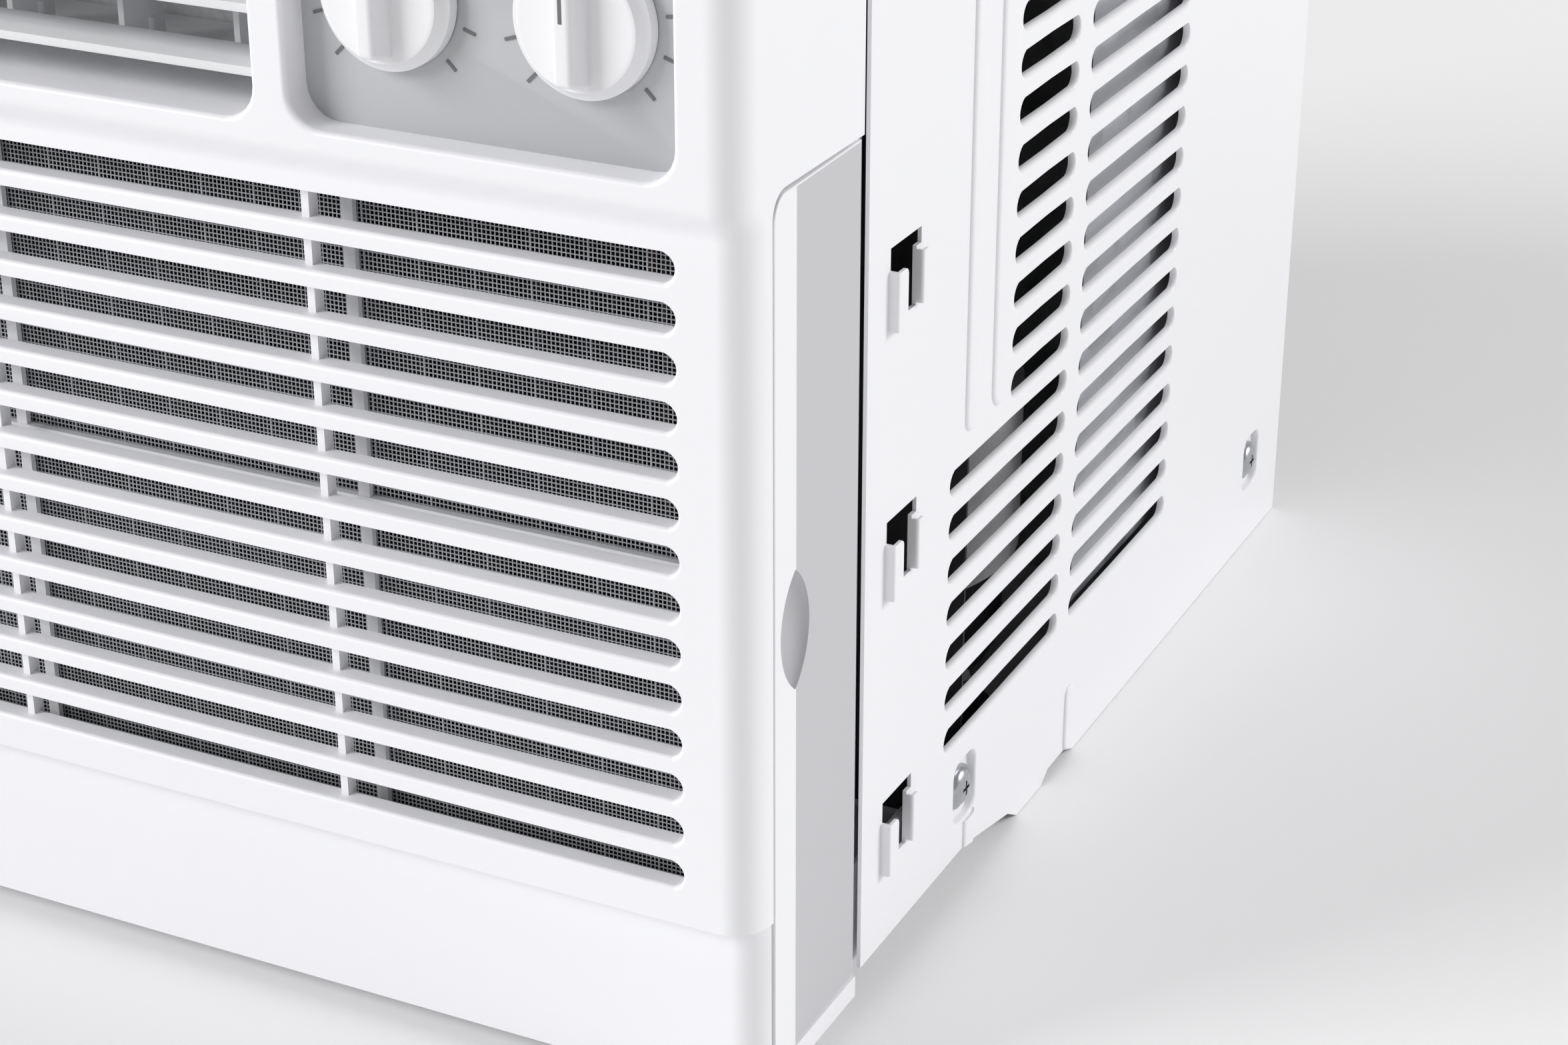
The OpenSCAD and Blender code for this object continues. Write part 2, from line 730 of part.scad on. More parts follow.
module drip_tray() {
    color("gainsboro") difference() {
        box([-186, -170, 24], [184, -138, 38]);
        box([-184, -168, 26], [182, -140, 39]);
        rod_y(-150, -142, -130, 31, 4);
    }
}

// ---- Compressor set ----

// Rounded end of the compressor's shell, its edge centred at height z
module shell_end(z, edge) {
    translate([comp[0], comp[1], z]) {
        rotate_extrude() translate([comp_r - edge, 0]) circle(edge);
        cylinder(h = 2 * edge, r = comp_r - edge, center = true);
    }
}

module compressor() {
    color("black") difference() {
        union() {
            rod_z(comp[0], comp[1], 30, 182, comp_r);
            shell_end(30, 12);
            shell_end(182, 12);
            rod_x(74, 90, accumulator_at[1], 110.5, 5.2);
            along_z(22, 25) {
                for (a = [90, 210, 330])
                    translate(comp) rotate(a) translate([0, -11]) square([foot_ring, 22]);
                for (p = foot_at) translate(p) circle(11);
            }
        }
        for (p = foot_at) rod_z(p[0], p[1], 21, 26, 6);
    }
}

module compressor_jacket() {
    color("gray") along_z(55, 104) translate(comp) difference() {
        circle(comp_r + 4.4);
        circle(comp_r + 0.4);
        translate([-1, -60]) square([2, 20]);
    }
}

module compressor_grommets() {
    color("black") for (p = foot_at) difference() {
        union() {
            rod_z(p[0], p[1], pan_t, 21.9, 7.5);
            rod_z(p[0], p[1], 21, 26, 5.8);
            rod_z(p[0], p[1], 25.1, 29, 7.5);
        }
        rod_z(p[0], p[1], 0, 30, 3.2);
    }
}

module compressor_bolts() { color("silver") for (p = foot_at) rod_z(p[0], p[1], pan_t, 36, 3); }

module compressor_nuts() {
    color("silver") for (p = foot_at) difference() {
        translate([p[0], p[1], 29]) cylinder(h = 4.5, r = 5.4, $fn = 6);
        rod_z(p[0], p[1], 28, 35, 3.05);
    }
}

module terminal_cover() {
    color("black") {
        rod_z(118, -8, 194, 210, 15);
        rod_z(118, -8, 210, 213, 12);
    }
}

module accumulator() {
    color("black") translate([accumulator_at[0], accumulator_at[1], 0]) {
        translate([0, 0, 122]) cylinder(h = 10, r1 = 6, r2 = 17);
        translate([0, 0, 132]) cylinder(h = 58, r = 17);
        translate([0, 0, 190]) cylinder(h = 10, r1 = 17, r2 = 6);
    }
}

// Lines from the coil to the accumulator and from there to the compressor
module suction_pipes() {
    color("peru") {
        pipe(suction_route, 4.5, 5.4);
        pipe([[48, -8, 122], [48, -8, 110.5], [73.6, -8, 110.5]], 4, 6);
    }
}

module discharge_pipe() { color("peru") pipe(discharge_route, 3, 3.4); }
module capillary_tube() { color("peru") pipe(capillary_route, 1.2, 2.8); }
module motor_leads() { color("black") pipe(lead_route, 1.8, 6); }

module capacitor() {
    color("lightgray") {
        rod_x(112, 178, -98, 262, 20);
        for (z = [256, 268]) box([178, -101, z - 1], [186, -95, z + 1]);
    }
}

module capacitor_strap() {
    color("silver") difference() {
        union() {
            rod_x(138, 152, -98, 262, 21.2);
            box([138, -80, 261], [152, bulkhead_y - 0.2, 262.4]);
            box([138, bulkhead_y - 1.4, 252], [152, bulkhead_y - 0.2, 272]);
        }
        rod_x(137, 153, -98, 262, 20.2);
    }
}

module cord_grommet() {
    color("black") difference() {
        union() {
            rod_x(-panel_x - 1.4, -panel_x - 0.05, -166, 24, 9.5);
            rod_x(-panel_x - 1, -panel_x + wall + 1, -166, 24, 6.9);
            rod_x(-panel_x + wall + 0.05, -panel_x + wall + 4, -166, 24, 8.5);
        }
        rod_x(-panel_x - 2, -panel_x + wall + 5, -166, 24, 4);
    }
}

// ---- Assembly ----

front_panel();
front_surround();
intake_grille();
filter_frame();
filter_mesh();
control_plate();
mode_knob();
temperature_knob();
rotary_switch();
thermostat();
sensing_bulb();
control_box();
outlet_frame();
vane_link();
deflector_link();
cabinet();
base_pan();
cabinet_screws();
bulkhead();
air_duct();
outlet_duct();
blower_inlet_plate();
blower_wheel();
motor_shaft();
fan_motor();
motor_bracket();
condenser_fan();
fan_shroud();
condenser_fins();
condenser_tubes();
evaporator_fins();
evaporator_tubes();
drip_tray();
compressor();
compressor_jacket();
compressor_grommets();
compressor_bolts();
compressor_nuts();
terminal_cover();
accumulator();
suction_pipes();
discharge_pipe();
capillary_tube();
capacitor();
capacitor_strap();
motor_leads();
cord_grommet();
rear_guard();
for (i = [1:vane_count])
    outlet_vane(vane_z[i - 1]);
for (i = [1:deflector_count])
    deflector(deflector_x[i - 1], i == 5);
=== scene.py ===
"""The finished look of a window air conditioner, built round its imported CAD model."""
import json
import math

import bmesh
import bpy
from mathutils import Matrix, Vector

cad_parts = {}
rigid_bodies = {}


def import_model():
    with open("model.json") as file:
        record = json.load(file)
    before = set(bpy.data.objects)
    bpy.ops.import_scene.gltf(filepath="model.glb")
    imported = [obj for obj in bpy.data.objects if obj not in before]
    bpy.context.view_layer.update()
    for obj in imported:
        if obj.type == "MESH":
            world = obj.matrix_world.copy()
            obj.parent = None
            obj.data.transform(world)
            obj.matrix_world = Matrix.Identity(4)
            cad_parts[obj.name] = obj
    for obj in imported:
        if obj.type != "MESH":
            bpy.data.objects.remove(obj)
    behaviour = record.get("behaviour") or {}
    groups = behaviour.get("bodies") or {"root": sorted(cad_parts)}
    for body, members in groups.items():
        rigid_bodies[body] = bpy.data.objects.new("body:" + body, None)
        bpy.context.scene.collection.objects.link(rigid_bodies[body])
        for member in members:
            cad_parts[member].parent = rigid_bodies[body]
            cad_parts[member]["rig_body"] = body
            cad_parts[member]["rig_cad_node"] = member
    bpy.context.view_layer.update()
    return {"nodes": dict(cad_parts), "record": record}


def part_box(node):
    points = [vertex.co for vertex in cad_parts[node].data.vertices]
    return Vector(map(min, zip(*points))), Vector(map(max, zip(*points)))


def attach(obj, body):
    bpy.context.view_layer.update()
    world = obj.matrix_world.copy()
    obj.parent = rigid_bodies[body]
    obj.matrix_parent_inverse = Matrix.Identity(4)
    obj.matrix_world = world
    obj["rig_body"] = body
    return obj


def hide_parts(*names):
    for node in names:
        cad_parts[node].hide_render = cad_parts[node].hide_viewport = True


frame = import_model()

# ---------------------------------------------------------------- sizes, in millimetres
MM = 0.001


def box_mm(node):
    """Lowest and highest corner of a CAD node, in millimetres."""
    low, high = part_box(node)
    return low / MM, high / MM


cover_low, cover_high = box_mm("front_panel")
COVER_SIDE = cover_high.x            # half of the plastic front's width
COVER_BASE = cover_low.z
COVER_TOP = cover_high.z
COVER_REAR = -136.2
UPPER_FACE = cover_low.y             # face of the control zone
GRILLE_FACE = UPPER_FACE + 4
CHIN_FACE = GRILLE_FACE + 5
CHIN_TOP = 53
COVER_WALL = 2.5
SWELL = (218, 226.5)                 # heights between which the face steps out
CORNER = 8
INTAKE_TOP, INTAKE_PITCH, INTAKE_COUNT = 214.5, 11.16, 14
INTAKE_HALF, INTAKE_HIGH = 185.5, 7.2
BAR_BACK = GRILLE_FACE + 5.2
WINDOW_Z = (230, 290)
WINDOW_ROUND = 8                     # corner radius of both windows
OUTLET_X, CONTROL_X = (-188, 86), (95, 188)
HANDLE_Y, HANDLE_Z = -181.3, (12, 226)
SCOOP = (COVER_SIDE, -170.2, 122)    # middle of the finger recess
SCOOP_RADIUS, SCOOP_OFFSET, SCOOP_FLATNESS = 18.6, 11.2, 0.343
HANDLE_GAP = 0.9                     # space round the handle's front end
HANDLE_CREASE = -169.8               # behind it the handle leans in

cabinet_low, cabinet_high = box_mm("cabinet")
CABINET_SIDE = 202
CABINET_FRONT, CABINET_REAR = cabinet_low.y, cabinet_high.y
CABINET_TOP = cabinet_high.z
SHEET = 1
LOUVRE_TOP, LOUVRE_PITCH, LOUVRE_ROWS, LONG_ROWS = 52, 12, 18, 7
LOUVRE_RADIUS = 3.5
FRONT_LOUVRES, UPPER_LOUVRES, REAR_LOUVRES = (-80.6, -3), (-42, -3), (6.7, 84)
HOOK_TOPS = (194.5, 126.5, 51)
HOOK_HIGH = 18.5                     # height of a hook opening
HOOK_Y = (-119, -104.5)
HOOK_OUT = 2.6                       # how far a hook stands out of the side
TAB = 0.8                            # thickness of a hook's tab
SCREW_SPOTS = ((-66.3, 28.5), (170, 28.5))
POCKET = (7, 9)                      # half sizes of the pocket round a screw
POCKET_FLOOR = 199.8
BEADS = (                            # front, rear, bottom, top and height of each pressed bead
    (-72.7, -65.2, 131, CABINET_TOP - 8, 0.9),
    (-55.7, -45.6, 131, CABINET_TOP - 8, 0.9),
    (6, 12.3, 2.4, 23, 0.8),
    (-67, -60, 8, 22, 0.8),
)
PAN_LINE = ((-150, 10.5), (-65, 10.5), (-35, 4), (-28, 0), (-10, 0), (-5, 3), (7, 3), (14, 0), (196, 0))
KNOB_X, KNOB_Z = (118, 165), 260
KNOB_RADIUS = 16
DIAL_FACE = -188                     # front of the control plate
FILTER_X, FILTER_Y, FILTER_Z = (-186, 188), (-180.5, -175.5), (48, 216)
FRAME_WIDTH = 6                      # width of the filter frame's rails

# ---------------------------------------------------------------- making pieces


def deselect():
    if bpy.context.mode != "OBJECT":
        bpy.ops.object.mode_set(mode="OBJECT")
    bpy.ops.object.select_all(action="DESELECT")


def hold(*things):
    """Selects these pieces and nothing else, the first one active."""
    deselect()
    for thing in things:
        thing.select_set(True)
    bpy.context.view_layer.objects.active = things[0]


def settle(thing):
    """Puts a piece's place into its mesh and its object at the origin."""
    hold(thing)
    bpy.ops.object.transform_apply(location=True, rotation=True, scale=True)
    return thing


def block(name, low, high):
    """Box between two opposite corners."""
    deselect()
    low, high = Vector(low) * MM, Vector(high) * MM
    bpy.ops.mesh.primitive_cube_add(size=1, location=(low + high) / 2)
    thing = bpy.context.object
    thing.name = name
    thing.scale = high - low
    return settle(thing)


LIE_ALONG = {"x": (0, math.pi / 2, 0), "y": (math.pi / 2, 0, 0), "z": (0, 0, 0)}


def rod(name, axis, start, length, radius, sides=32):
    """Round bar from a point, along an axis."""
    deselect()
    along = Vector([float(a == axis) for a in "xyz"])
    middle = Vector(start) + along * length / 2
    bpy.ops.mesh.primitive_cylinder_add(
        vertices=sides, radius=radius * MM, depth=abs(length) * MM,
        location=middle * MM, rotation=LIE_ALONG[axis])
    thing = bpy.context.object
    thing.name = name
    return settle(thing)


class Shaping:
    """Edit mode on one piece. Faces, edges and corners are picked by their place in millimetres."""

    def __init__(self, thing):
        self.thing = thing

    def __enter__(self):
        hold(self.thing)
        bpy.ops.object.mode_set(mode="EDIT")
        bpy.ops.mesh.select_all(action="DESELECT")
        return self

    def __exit__(self, *_):
        bpy.ops.object.mode_set(mode="OBJECT")

    def _pick(self, kind, wanted):
        bpy.ops.mesh.select_mode(type=kind)
        bpy.ops.mesh.select_all(action="DESELECT")
        mesh = bmesh.from_edit_mesh(self.thing.data)
        members = {"FACE": mesh.faces, "EDGE": mesh.edges, "VERT": mesh.verts}[kind]
        for member in members:
            if wanted(member):
                member.select_set(True)
        mesh.select_flush_mode()
        bmesh.update_edit_mesh(self.thing.data)

    def faces(self, test):
        self._pick("FACE", lambda f: test(f.calc_center_median() / MM, f.normal))

    def edges(self, test):
        self._pick("EDGE", lambda e: test(e.verts[0].co / MM, e.verts[1].co / MM))

    def corners(self, test):
        self._pick("VERT", lambda v: test(v.co / MM))

    def move(self, x=0, y=0, z=0):
        bpy.ops.transform.translate(value=(x * MM, y * MM, z * MM))

    def stretch(self, scale, centre):
        bpy.ops.transform.resize(value=scale, center_override=Vector(centre) * MM)

    def pull(self, x=0, y=0, z=0):
        bpy.ops.mesh.extrude_region_move(TRANSFORM_OT_translate={"value": (x * MM, y * MM, z * MM)})

    def slice(self, axis, place):
        bpy.ops.mesh.select_all(action="SELECT")
        normal = Vector([float(a == axis) for a in "xyz"])
        bpy.ops.mesh.bisect(plane_co=normal * place * MM, plane_no=normal)

    def round_over(self, width, segments=4):
        bpy.ops.mesh.bevel(offset=width * MM, segments=segments, affect="EDGES", clamp_overlap=False)

    def clean(self):
        """Merges doubled corners and turns the faces outwards."""
        bpy.ops.mesh.select_all(action="SELECT")
        bpy.ops.mesh.remove_doubles(threshold=0.001 * MM)
        bpy.ops.mesh.normals_make_consistent(inside=False)


def modify(thing, kind, **settings):
    """Adds a modifier and applies it."""
    hold(thing)
    modifier = thing.modifiers.new(kind.lower(), kind)
    for name, value in settings.items():
        setattr(modifier, name, value)
    bpy.ops.object.modifier_apply(modifier=modifier.name)
    return thing


def combine(thing, other, how):
    modify(thing, "BOOLEAN", operation=how, solver="EXACT", object=other)
    bpy.data.objects.remove(other)
    return thing


def add(thing, other):
    return combine(thing, other, "UNION")


def cut(thing, other):
    return combine(thing, other, "DIFFERENCE")


def join(things):
    """Makes one piece of several without cutting them."""
    hold(*things)
    bpy.ops.object.join()
    return things[0]


def again(thing, rise):
    """A copy with its own mesh, higher by rise."""
    hold(thing)
    bpy.ops.object.duplicate(linked=False)
    bpy.ops.transform.translate(value=(0, 0, rise * MM))
    return settle(bpy.context.object)


def other_side(thing):
    """The mirror image of a piece on the other side of the unit."""
    hold(thing)
    bpy.ops.object.duplicate(linked=False)
    twin = bpy.context.object
    twin.scale.x = -1
    settle(twin)
    with Shaping(twin) as s:
        s.clean()
    return twin


def rounded_block(name, axis, low, high, radius, segments=6):
    """Block whose four edges along an axis are rounded."""
    thing = block(name, low, high)
    i = "xyz".index(axis)
    with Shaping(thing) as s:
        s.edges(lambda a, b: abs(a[i] - b[i]) > 0.5 * abs(high[i] - low[i]))
        s.round_over(radius, segments)
    return thing


def edged(name, low, high, width):
    """Block with all its edges softened."""
    thing = block(name, low, high)
    with Shaping(thing) as s:
        bpy.ops.mesh.select_all(action="SELECT")
        s.round_over(width, 2)
    return thing


def flare(thing, axis, outward, depth, half, growth, drop, steps=5):
    """Widens the outer end of a cutter along a quarter circle, so that its hole gets a rolled lip.
    Half holds the cutter's half sizes across the axis, and drop lowers the widened end."""
    i = "xyz".index(axis)
    across = [k for k in range(3) if k != i]
    with Shaping(thing) as s:
        s.faces(lambda c, n: n[i] * outward > 0.9)
        mesh = bmesh.from_edit_mesh(thing.data)
        centre = [f.calc_center_median() / MM for f in mesh.faces if f.select][0]
        grown, gone, fallen = 0, 0, 0
        for step in range(1, steps + 2):
            angle = min(step / steps, 1) * math.pi / 2
            grow = growth * (1 - math.cos(angle))
            travel = depth * math.sin(angle) + (3 if step > steps else 0)
            fall = drop * (1 - math.cos(angle))
            move = Vector((0, 0, fallen - fall))
            move[i] = outward * (travel - gone)
            s.pull(*move)
            centre = centre + move
            scale = [1, 1, 1]
            for k, size in zip(across, half):
                scale[k] = (size + grow) / (size + grown)
            s.stretch(scale, centre)
            grown, gone, fallen = grow, travel, fall
    return thing


def long_slot(name, axis, along, centre, start, reach, radius, length, lip, sides):
    """Cutter for a slot with round ends. It points along axis, runs along the second axis, and its
    outer end widens by lip = (depth, growth, drop)."""
    i = "xyz".index(axis)
    begin = Vector(centre)
    begin[i] = start
    depth, growth, drop = lip
    outward = 1 if reach > start else -1
    inner = reach - outward * depth - start
    thing = rod(name, axis, begin, inner, radius, sides)
    flare(thing, axis, outward, depth, (radius, radius), growth, drop)
    k = "xyz".index(along)
    for side in (-1, 1):
        with Shaping(thing) as s:
            s.corners(lambda p: (p[k] - begin[k]) * side > 0.001)
            shift = [0, 0, 0]
            shift[k] = side * (length / 2 - radius)
            s.move(*shift)
    return thing


def smooth(thing, angle=32, weighted=False):
    """Smooth shading up to an angle, with flat faces kept flat where weighted."""
    hold(thing)
    bpy.ops.object.shade_smooth_by_angle(angle=math.radians(angle))
    if weighted:
        modify(thing, "WEIGHTED_NORMAL", keep_sharp=True, weight=100)
    return thing


def soften(node, name, width):
    """A copy of a CAD node with clean faces and rounded edges."""
    source = frame["nodes"][node]
    thing = source.copy()
    thing.data = source.data.copy()
    thing.parent = None
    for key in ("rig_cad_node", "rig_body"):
        del thing[key]
    bpy.context.scene.collection.objects.link(thing)
    thing.name = name
    with Shaping(thing):
        bpy.ops.mesh.select_all(action="SELECT")
        bpy.ops.mesh.remove_doubles(threshold=0.002 * MM)
        bpy.ops.mesh.dissolve_limited(angle_limit=math.radians(0.5))
    modify(thing, "BEVEL", width=width * MM, segments=2, limit_method="ANGLE",
           angle_limit=math.radians(35), use_clamp_overlap=True)
    return smooth(thing)


# ---------------------------------------------------------------- finishes


class Amount:
    """A number that changes over a surface. Sums and products of it add their Math nodes."""

    def __init__(self, finish, socket):
        self.finish, self.socket = finish, socket

    def _math(self, operation, first, second):
        node = self.finish.node("ShaderNodeMath", {"operation": operation}, {0: first, 1: second})
        return Amount(self.finish, node.outputs[0])

    def __add__(self, other):
        return self._math("ADD", self, other)

    __radd__ = __add__

    def __mul__(self, other):
        return self._math("MULTIPLY", self, other)

    __rmul__ = __mul__


class Finish:
    """One surface finish, built from its nodes."""

    def __init__(self, name):
        self.material = bpy.data.materials.new(name)
        self.material.use_nodes = True
        self.tree = self.material.node_tree
        self.shader = self.tree.nodes["Principled BSDF"]
        self.place = self.node("ShaderNodeTexCoord").outputs["Object"]

    def node(self, kind, settings=None, sockets=None):
        """Adds a node, its settings first and then the values or links of its sockets."""
        made = self.tree.nodes.new(kind)
        for key, value in (settings or {}).items():
            if key == "stops":
                for stop, (position, colour) in zip(self._stops(made, len(value)), value):
                    stop.position, stop.color = position, colour
            else:
                setattr(made, key, value)
        for key, value in (sockets or {}).items():
            self.plug(made.inputs[key], value)
        return made

    def _stops(self, ramp, count):
        while len(ramp.color_ramp.elements) < count:
            ramp.color_ramp.elements.new(0.5)
        return ramp.color_ramp.elements

    def plug(self, socket, value):
        if isinstance(value, Amount):
            value = value.socket
        if isinstance(value, bpy.types.NodeSocket):
            self.tree.links.new(value, socket)
        else:
            socket.default_value = value

    def set(self, **sockets):
        for key, value in sockets.items():
            self.plug(self.shader.inputs[key.replace("_", " ")], value)
        return self

    def cloud(self, scale, detail=2.0, rough=0.5, stretch=None):
        """Soft noise over the surface; scale is features per metre."""
        place = self.place
        if stretch:
            place = self.node("ShaderNodeMapping", {}, {"Vector": place, "Scale": stretch}).outputs[0]
        made = self.node("ShaderNodeTexNoise", {}, {
            "Vector": place, "Scale": scale, "Detail": detail, "Roughness": rough})
        return Amount(self, made.outputs[0])

    def cells(self, scale):
        """Small cells side by side; scale is cells per metre."""
        return self.node("ShaderNodeTexVoronoi", {}, {"Vector": self.place, "Scale": scale})

    def blend(self, amount, first, second):
        """A colour between two others."""
        made = self.node("ShaderNodeMix", {"data_type": "RGBA"}, {0: amount, 6: first, 7: second})
        return made.outputs[2]

    def bump(self, height, strength, distance):
        """A normal tilted by a height that varies over the surface."""
        made = self.node("ShaderNodeBump", {}, {
            "Height": height, "Strength": strength, "Distance": distance})
        return made.outputs["Normal"]


def shade(colour, factor):
    """A colour made darker or lighter, as four numbers."""
    return (*[min(1.0, c * factor) for c in colour[:3]], 1)


def moulded_plastic(name, colour, rough=0.38, grain=0.25):
    """Injection-moulded plastic: a very fine grain, faint flow marks, a little uneven gloss."""
    f = Finish(name)
    flow = f.cloud(9, 3, 0.55, (1, 1, 0.35))
    fine = f.cloud(2600, 2, 0.6)
    f.set(Base_Color=f.blend(flow, shade(colour, 0.985), shade(colour, 1.01)),
          Roughness=flow * 0.08 + fine * 0.05 + (rough - 0.06),
          Normal=f.bump(fine, grain, 0.00004))
    f.shader.inputs["Specular IOR Level"].default_value = 0.4
    return f.material


def painted_steel(name, colour, rough=0.34):
    """Baked enamel on sheet steel: slight orange peel and faint handling marks."""
    f = Finish(name)
    wash = f.cloud(6, 3, 0.6)
    peel_wave = f.cloud(420, 2, 0.5)
    speck = f.cloud(1800, 2, 0.7)
    f.set(Base_Color=f.blend(wash, shade(colour, 0.985), shade(colour, 1.01)),
          Roughness=wash * 0.10 + speck * 0.05 + (rough - 0.07),
          Normal=f.bump(peel_wave, 0.3, 0.00006))
    f.shader.inputs["Specular IOR Level"].default_value = 0.45
    return f.material


def zinc_sheet(name, colour=(0.60, 0.61, 0.63), rough=0.42):
    """Galvanised sheet with its crystal spangle and dull streaks."""
    f = Finish(name)
    crystals = f.cells(70)
    tint = f.node("ShaderNodeSeparateColor", {}, {0: crystals.outputs["Color"]}).outputs[0]
    tint = Amount(f, tint)
    streak = f.cloud(30, 3, 0.6, (1, 1, 0.2))
    f.set(Base_Color=f.blend(tint * 0.6 + streak * 0.4, shade(colour, 0.84), shade(colour, 1.12)),
          Roughness=tint * 0.14 + streak * 0.12 + (rough - 0.12),
          Normal=f.bump(tint, 0.08, 0.00005), Metallic=0.85)
    return f.material


def bare_metal(name, colour, rough=0.3, brushed=(1, 1, 1), metallic=1.0):
    """Plain metal with fine drawing lines and a few dull patches."""
    f = Finish(name)
    line = f.cloud(900, 2, 0.6, brushed)
    dull = f.cloud(40, 3, 0.6)
    f.set(Base_Color=f.blend(dull, shade(colour, 0.86), shade(colour, 1.06)),
          Roughness=dull * 0.18 + line * 0.10 + (rough - 0.12),
          Normal=f.bump(line, 0.12, 0.00005), Metallic=metallic)
    return f.material


def aged_copper(name, factor=1.0):
    """Drawn copper tube with a brown patina."""
    f = Finish(name)
    patina = f.cloud(120, 4, 0.65)
    f.set(Base_Color=f.blend(patina, shade((0.62, 0.27, 0.15), factor), shade((0.84, 0.44, 0.28), factor)),
          Roughness=patina * 0.25 + 0.22, Normal=f.bump(patina, 0.1, 0.00005), Metallic=1.0)
    return f.material


def rubber(name, colour=(0.02, 0.02, 0.022), rough=0.7):
    """Black rubber with a little dust on it."""
    f = Finish(name)
    dust = f.cloud(260, 3, 0.6)
    f.set(Base_Color=f.blend(dust, shade(colour, 0.8), shade(colour, 1.6)),
          Roughness=dust * 0.15 + (rough - 0.08), Normal=f.bump(dust, 0.2, 0.0001))
    return f.material


def felt(name, colour):
    """Pressed sound felt with loose fibres."""
    f = Finish(name)
    fibre = f.cloud(900, 4, 0.75)
    mottle = f.cloud(120, 3, 0.6)
    f.set(Base_Color=f.blend(mottle * 0.5 + fibre * 0.5, shade(colour, 0.7), shade(colour, 1.3)),
          Roughness=fibre * 0.1 + 0.88, Normal=f.bump(fibre, 0.6, 0.0006))
    f.shader.inputs["Sheen Weight"].default_value = 0.3
    return f.material


def foam(name):
    """White bead foam, its beads just showing; its colour darkens towards each bead's rim, painted shade
    between the beads.
    """
    f = Finish(name)
    colour = (0.86, 0.87, 0.88)
    beads = Amount(f, f.cells(420).outputs["Distance"])
    f.set(Base_Color=f.blend(beads, shade(colour, 1.0), shade(colour, 0.84)),
          Roughness=beads * 0.1 + 0.75, Normal=f.bump(beads, 0.35, 0.0004))
    return f.material


WHITE = (0.90, 0.90, 0.925)
FINISHES = {
    "panel_plastic": moulded_plastic("panel_plastic", WHITE),
    "filter_plastic": moulded_plastic("filter_plastic", (0.90, 0.90, 0.92), 0.36),
    "filter_mesh": moulded_plastic("filter_mesh", (0.52, 0.53, 0.55), 0.55, 0.1),
    "control_grey": moulded_plastic("control_grey", (0.50, 0.505, 0.52), 0.42),
    "knob_plastic": moulded_plastic("knob_plastic", (0.88, 0.88, 0.90), 0.30),
    "switch_body": moulded_plastic("switch_body", (0.62, 0.56, 0.44), 0.5),
    "vane_plastic": moulded_plastic("vane_plastic", (0.84, 0.845, 0.86), 0.36),
    "cabinet_paint": painted_steel("cabinet_paint", WHITE),
    "pan_steel": painted_steel("pan_steel", (0.80, 0.80, 0.82), 0.45),
    "galvanised": zinc_sheet("galvanised"),
    "zinc_fastener": bare_metal("zinc_fastener", (0.50, 0.51, 0.53), 0.3),
    "duct_foam": foam("duct_foam"),
    "fan_plastic": moulded_plastic("fan_plastic", (0.035, 0.035, 0.04), 0.45),
    "shaft_steel": bare_metal("shaft_steel", (0.62, 0.62, 0.63), 0.22, (1, 0.05, 1)),
    "motor_steel": painted_steel("motor_steel", (0.16, 0.16, 0.17), 0.4),
    "fin_aluminium": bare_metal("fin_aluminium", (0.66, 0.68, 0.70), 0.45, (1, 1, 0.1)),
    "copper": aged_copper("copper"),
    "compressor_paint": painted_steel("compressor_paint", (0.012, 0.012, 0.014), 0.38),
    "felt": felt("felt", (0.50, 0.50, 0.51)),
    "rubber": rubber("rubber"),
    "guard_paint": painted_steel("guard_paint", (0.86, 0.86, 0.88), 0.4),
    "lead_sleeve": rubber("lead_sleeve", (0.03, 0.03, 0.035), 0.5),
}
# Copper inside the unit, made near black: painted shade
PAINTED_SHADE_COPPER = {"evaporator_tubes", "suction_pipes", "capillary_tube", "sensing_bulb"}
# Mid-grey finish for the finger recess: painted shade in the recess, over a fine grain
painted_shade_recess = moulded_plastic("painted_shade_recess", (0.56, 0.56, 0.58), 0.6, 0.6)   # grained finger recess
# Near-black copper: painted shade on the pipes inside the unit
painted_shade_copper = aged_copper("painted_shade_copper", 0.08)
# Near-black zinc for the bulkhead: painted shade seen through the hook holes and louvres
painted_shade_zinc = zinc_sheet("painted_shade_zinc", (0.10, 0.10, 0.105), 0.5)
# Near-black evaporator fins: painted shade behind the intake slots and filter
painted_shade_coil = bare_metal("painted_shade_coil", (0.03, 0.032, 0.035), 0.6, (1, 1, 0.1), 0.3)


def finished(thing, body, slot, *nodes, material=None):
    """Gives a piece its finish and the body it rides on, and hides the CAD nodes that it stands for."""
    thing.data.materials.clear()
    thing.data.materials.append(material or FINISHES[slot])
    for polygon in thing.data.polygons:
        polygon.material_index = 0
    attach(thing, body)
    if nodes:
        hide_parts(*nodes)
    return thing


# ---------------------------------------------------------------- plastic front


def window_cutter(name, x):
    """Cutter for a rounded window with a soft front lip."""
    lip = 1.4
    thing = rounded_block(name, "y", (x[0], UPPER_FACE + lip, WINDOW_Z[0]), (x[1], -180, WINDOW_Z[1]),
                          WINDOW_ROUND)
    half = ((x[1] - x[0]) / 2, (WINDOW_Z[1] - WINDOW_Z[0]) / 2)
    return flare(thing, "y", -1, lip, half, 1.2, 0)


